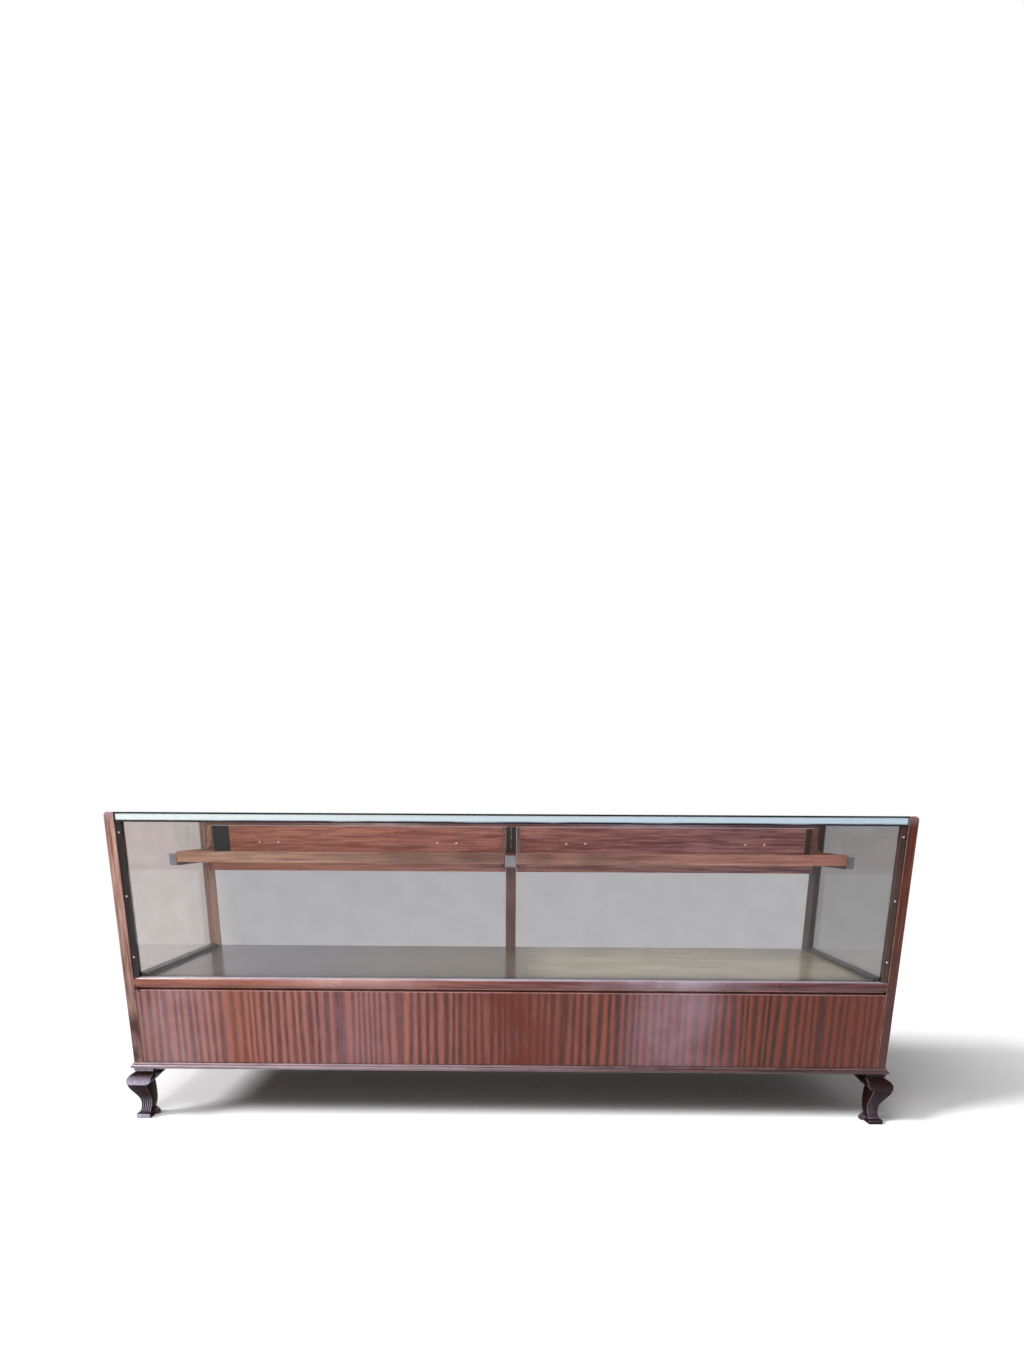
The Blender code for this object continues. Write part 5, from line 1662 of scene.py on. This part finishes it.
@dataclass
class Handles:
    """Four cast bow handles, each with two rosettes and bolts through the tray's board.

    An inset is given by its width and by how far the face then rises, a slot by half of its
    length and its depth, and the bolt's ends by how far they pass the board, inside and outside.
    """

    level: float = 0.826
    centres: tuple[float, float] = (0.23135, 0.87135)
    pitch: float = 0.068
    reach: float = 0.028
    bend: float = 0.017
    bend_steps: int = 8
    rod: float = 0.0035
    rod_sides: int = 16
    swell: float = 0.0008
    swell_steps: tuple[float, ...] = (1.12, 1.08, 1.0, 0.926, 0.893)
    rosette: float = 0.008
    rosette_sides: int = 32
    rosette_base: float = 0.0012
    rosette_insets: tuple[tuple[float, float], ...] = ((0.0012, 0.0008), (0.0010, 0.0010))
    rosette_taper: float = 0.8
    bolt: float = 0.002
    bolt_sides: int = 16
    bolt_ends: tuple[float, float] = (0.0002, 0.0008)
    nut: float = 0.0035
    nut_thickness: float = 0.003
    nut_taper: float = 0.72
    nut_slot: tuple[float, float] = (0.004, 0.0009)
    board: float = 0.018

    def build(self) -> Iterator[bpy.types.Object]:
        """Model one handle and one nut, and copy them to their places.

        Returns:
            Each handle in turn, followed by its two nuts.
        """
        pattern = self.cast()
        nut_pattern = self.turn_nut()
        for label, side in ENDS:
            places = sorted(side * centre for centre in self.centres)
            for number, place in enumerate(places, start=1):
                node = f"tray_{label}_handle_{number}"
                handle = pattern.copy(f"{node}_cast", shift=(place, 0.0, 0.0))
                handle.smooth(TURNED_DEGREES)
                yield handle.dress(BRASS, "brass", f"tray_{label}", node)
                for step, across in enumerate((-self.pitch / 2, self.pitch / 2), start=1):
                    nut = nut_pattern.copy(f"{node}_nut_{step}", shift=(place + across, 0.0, 0.0))
                    nut.smooth(TURNED_DEGREES)
                    yield nut.dress(NUT_NICKEL, "nickel", f"tray_{label}")
        pattern.use_up()
        nut_pattern.use_up()

    def cast(self) -> Workpiece:
        """Model a whole handle about X = 0.

        Returns:
            The handle.
        """
        handle = self.bow()
        for across in (-self.pitch / 2, self.pitch / 2):
            handle.combine(self.fixing(across), 'UNION')
        return handle

    def bow(self) -> Workpiece:
        """The bow: a round rod that leaves one rosette, turns twice and swells in the hand.

        Returns:
            The bow.
        """
        face = BOARD_BACK + GAP
        base = face + (self.rosette_base + sum(rise for _, rise in self.rosette_insets)) / 2
        crown = face + self.reach - self.swell
        start = -self.pitch / 2
        step = (self.pitch - 2 * self.bend) / (len(self.swell_steps) + 1)
        turn = crown - self.bend
        Workpiece.clear_bench()
        bpy.ops.mesh.primitive_circle_add(
            vertices=self.rod_sides, radius=self.rod, fill_type='NGON',
            location=(start, base, self.level), rotation=LYING,
        )
        bow = Workpiece(bpy.context.object, "bow_pattern")
        with bow.editing('FACE') as bench:
            bpy.ops.mesh.select_all(action='SELECT')
            bench.extrude((0.0, turn - base, 0.0))
            self.turn_rod((start + self.bend, turn, self.level))
            centre = Vector((start + self.bend, crown, self.level))
            for factor in self.swell_steps:
                bench.extrude((step, 0.0, 0.0))
                centre.x += step
                bench.resize((1.0, factor, factor), tuple(centre))
            bench.extrude((step, 0.0, 0.0))
            self.turn_rod((-start - self.bend, turn, self.level))
            bench.extrude((0.0, base - turn, 0.0))
            bpy.ops.mesh.select_all(action='SELECT')
            bpy.ops.mesh.remove_doubles(threshold=WELD)
            bpy.ops.mesh.normals_make_consistent(inside=False)
        return bow

    def turn_rod(self, centre: Point) -> None:
        """Lead the picked end of the rod round a quarter turn."""
        bpy.ops.mesh.spin(
            steps=self.bend_steps, angle=math.pi / 2, axis=(0.0, 0.0, 1.0), center=centre,
        )

    def fixing(self, across: float) -> Workpiece:
        """A stepped rosette and its bolt through the board.

        Args:
            across: Its place along X.

        Returns:
            The rosette with its bolt.
        """
        face = BOARD_BACK + GAP
        rosette = Workpiece.rod(
            "rosette_pattern", (across, face + self.rosette_base / 2, self.level), self.rosette,
            self.rosette_base, LYING, self.rosette_sides,
        )
        with rosette.editing('FACE') as bench:
            bench.pick_facing(TO_BACK)
            for width, rise in self.rosette_insets:
                bench.inset((width, 0.0))
                bench.extrude((0.0, rise, 0.0))
            bench.resize((self.rosette_taper, 1.0, self.rosette_taper), (across, face, self.level))
        inner, outer = face - self.board - self.bolt_ends[0], face + self.bolt_ends[1]
        shaft = Workpiece.rod(
            "bolt_pattern", (across, (inner + outer) / 2, self.level), self.bolt, outer - inner,
            LYING, self.bolt_sides,
        )
        rosette.combine(shaft, 'UNION')
        return rosette

    def turn_nut(self) -> Workpiece:
        """A slotted round nut on the inside of the board, about X = 0.

        Returns:
            The nut.
        """
        seat = BOARD_BACK - self.board - GAP
        nut = Workpiece.rod(
            "nut_pattern", (0.0, seat - self.nut_thickness / 2, self.level), self.nut,
            self.nut_thickness, LYING,
        )
        with nut.editing('FACE') as bench:
            bench.pick_facing(TO_FRONT)
            bench.resize((self.nut_taper, 1.0, self.nut_taper), (0.0, seat, self.level))
        half_length, depth = self.nut_slot
        nut.cut_slot(half_length, seat - self.nut_thickness, depth, self.level)
        return nut


@dataclass
class Fittings:
    """The screws down each corner bead, the peg under the rail and the caps of the tray arms.

    An inset is given by its width and its depth, and a slot by half of its length and its depth.
    """

    across: float = 1.107
    levels: tuple[float, ...] = (0.868, 0.687, 0.5075)
    face: float = -0.271
    radius: float = 0.0032
    height: float = 0.0016
    taper: float = 0.8
    rim: tuple[float, float] = (0.0012, 0.0003)
    slot: tuple[float, float] = (0.005, 0.0007)
    peg_place: Point = (-1.104, -0.2728, 0.4081)
    peg_radius: float = 0.0036
    peg_length: float = 0.0042
    peg_insets: tuple[tuple[float, float], ...] = ((0.0010, 0.0), (0.0006, -0.0012))
    arms: tuple[str, ...] = ("tray_arm_left", "tray_arm_centre", "tray_arm_right")
    cap_thickness: float = 0.0018
    cap_margin: float = 0.0008
    cap_insets: tuple[tuple[float, float], ...] = ((0.0030, 0.0), (0.0010, -0.0006))
    cap_edge: float = 0.0005

    def build(self) -> Iterator[bpy.types.Object]:
        """Make the screws, the peg and the caps.

        Returns:
            Each piece in turn.
        """
        pattern = self.turn_screw()
        for label, side in ENDS:
            for number, level in enumerate(self.levels, start=1):
                screw = pattern.copy(
                    f"corner_bead_screw_{label}_{number}", shift=(side * self.across, 0.0, level),
                )
                screw.smooth(TURNED_DEGREES)
                yield screw.dress(SCREW_STEEL, "nickel", "counter")
        pattern.use_up()
        yield self.drive_peg()
        for arm in self.arms:
            yield self.cap_arm(arm)

    def turn_screw(self) -> Workpiece:
        """A slotted round head, seated on the bead's face about X = 0 and Z = 0.

        Returns:
            The head.
        """
        head = Workpiece.rod(
            "screw_pattern", (0.0, self.face - self.height / 2, 0.0), self.radius, self.height, LYING,
        )
        with head.editing('FACE') as bench:
            bench.pick_facing(TO_FRONT)
            bench.resize((self.taper, 1.0, self.taper), (0.0, self.face, 0.0))
            bench.inset(self.rim)
        half_length, depth = self.slot
        head.cut_slot(half_length, self.face - self.height, depth)
        return head

    def drive_peg(self) -> bpy.types.Object:
        """The black peg with a sunk middle at the left end of the groove under the front rail, a dark
        spot of painted shade in the groove's corner.

        Returns:
            The finished peg.
        """
        peg = Workpiece.rod("rail_peg_left", self.peg_place, self.peg_radius, self.peg_length, LYING)
        with peg.editing('FACE') as bench:
            bench.pick_facing(TO_FRONT)
            bench.inset(*self.peg_insets)
        peg.smooth()
        return peg.dress(BEAD_WOOD, "black_bead", "counter")

    def cap_arm(self, arm: str) -> bpy.types.Object:
        """A painted cap on the front end of a tray arm, with a sunk middle.

        Args:
            arm: The arm's node.

        Returns:
            The finished cap.
        """
        low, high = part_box(arm)
        margin = self.cap_margin
        back = low.y - GAP
        cap = Workpiece.block(
            f"{arm}_cap", (low.x + margin, back - self.cap_thickness, low.z + margin),
            (high.x - margin, back, high.z - margin),
        )
        with cap.editing('FACE') as bench:
            bench.pick_facing(TO_FRONT)
            bench.inset(*self.cap_insets)
        cap.ease(self.cap_edge)
        cap.smooth()
        return cap.dress(TIP_PAINT, "mahogany", "counter")


@dataclass
class PostPlate:
    """The black plate on the centre post between the trays, a dark sheet that stands in for the shade
    there, with its bright stop rail.
    """

    half_width: float = 0.0172
    thickness: float = 0.0012
    edge: float = 0.0004
    margin: float = 0.0012
    rib_half_width: float = 0.0022
    rib_depth: float = 0.0022
    rib_bead: tuple[float, float] = (0.0007, 0.0004)
    rib_edge: float = 0.0002

    def build(self) -> Iterator[bpy.types.Object]:
        """Make the plate and its rib.

        Returns:
            Each piece in turn.
        """
        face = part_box("centre_post")[0].y - GAP
        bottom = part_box("tray_arm_centre")[1].z + self.margin
        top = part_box("centre_post")[1].z - self.margin
        plate = Workpiece.block(
            "centre_post_plate", (-self.half_width, face - self.thickness, bottom),
            (self.half_width, face, top),
        )
        plate.ease(self.edge)
        plate.smooth()
        yield plate.dress(BEAD_WOOD, "black_bead", "counter")
        front = face - self.thickness - GAP
        rib = Workpiece.block(
            "centre_post_rib", (-self.rib_half_width, front - self.rib_depth, bottom + self.margin),
            (self.rib_half_width, front, top - self.margin),
        )
        width, rise = self.rib_bead
        with rib.editing('FACE') as bench:
            bench.pick_facing(TO_FRONT)
            bench.inset((width, 0.0))
            bench.extrude((0.0, -rise, 0.0))
        rib.ease(self.rib_edge)
        rib.smooth()
        yield rib.dress(SCREW_STEEL, "nickel", "counter")


@dataclass
class TrayPlates:
    """Black plates at the outer end of each tray board inside the case, dark sheets that stand in for
    the shade there.
    """

    widths: tuple[tuple[str, int, float], ...] = (("left", -1, 0.058), ("right", 1, 0.020))
    thickness: float = 0.0010
    margin: float = 0.0006
    below_lip: float = 0.030
    edge: float = 0.0003

    def build(self) -> Iterator[bpy.types.Object]:
        """Make a plate for each tray.

        Returns:
            Each plate in turn.
        """
        for label, side, width in self.widths:
            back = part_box(f"tray_{label}_board")[0].y - GAP
            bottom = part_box(f"tray_{label}_lip")[1].z - self.below_lip
            low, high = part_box(f"tray_{label}_side_outer")
            outer = (high.x if side < 0 else low.x) - side * self.margin
            left, right = sorted((outer, outer - side * width))
            plate = Workpiece.block(
                f"tray_{label}_end_plate", (left, back - self.thickness, bottom),
                (right, back, high.z - self.margin),
            )
            plate.ease(self.edge)
            plate.smooth()
            yield plate.dress(BEAD_WOOD, "black_bead", f"tray_{label}")


def write_sizes() -> None:
    """Work out the CAD box and the dressed model's box as plain lists of numbers."""
    boxes = {"cad": CAD_BOX, "visual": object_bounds()}
    plain = {
        name: [[float(value) for value in corner] for corner in box] for name, box in boxes.items()
    }


def main() -> None:
    """Set up the studio, build each sub-assembly in order and report its pieces."""
    logging.basicConfig(level=logging.INFO, format="%(name)s: %(message)s")
    Studio().build()
    for assembly in (Carcase(), Foot(), Handles(), Fittings(), PostPlate(), TrayPlates()):
        for piece in assembly.build():
            LOG.info("%s: %s, %d faces", type(assembly).__name__, piece.name, len(piece.data.polygons))
    Workpiece.clear_bench()
    write_sizes()


if __name__ == "__main__":
    main()
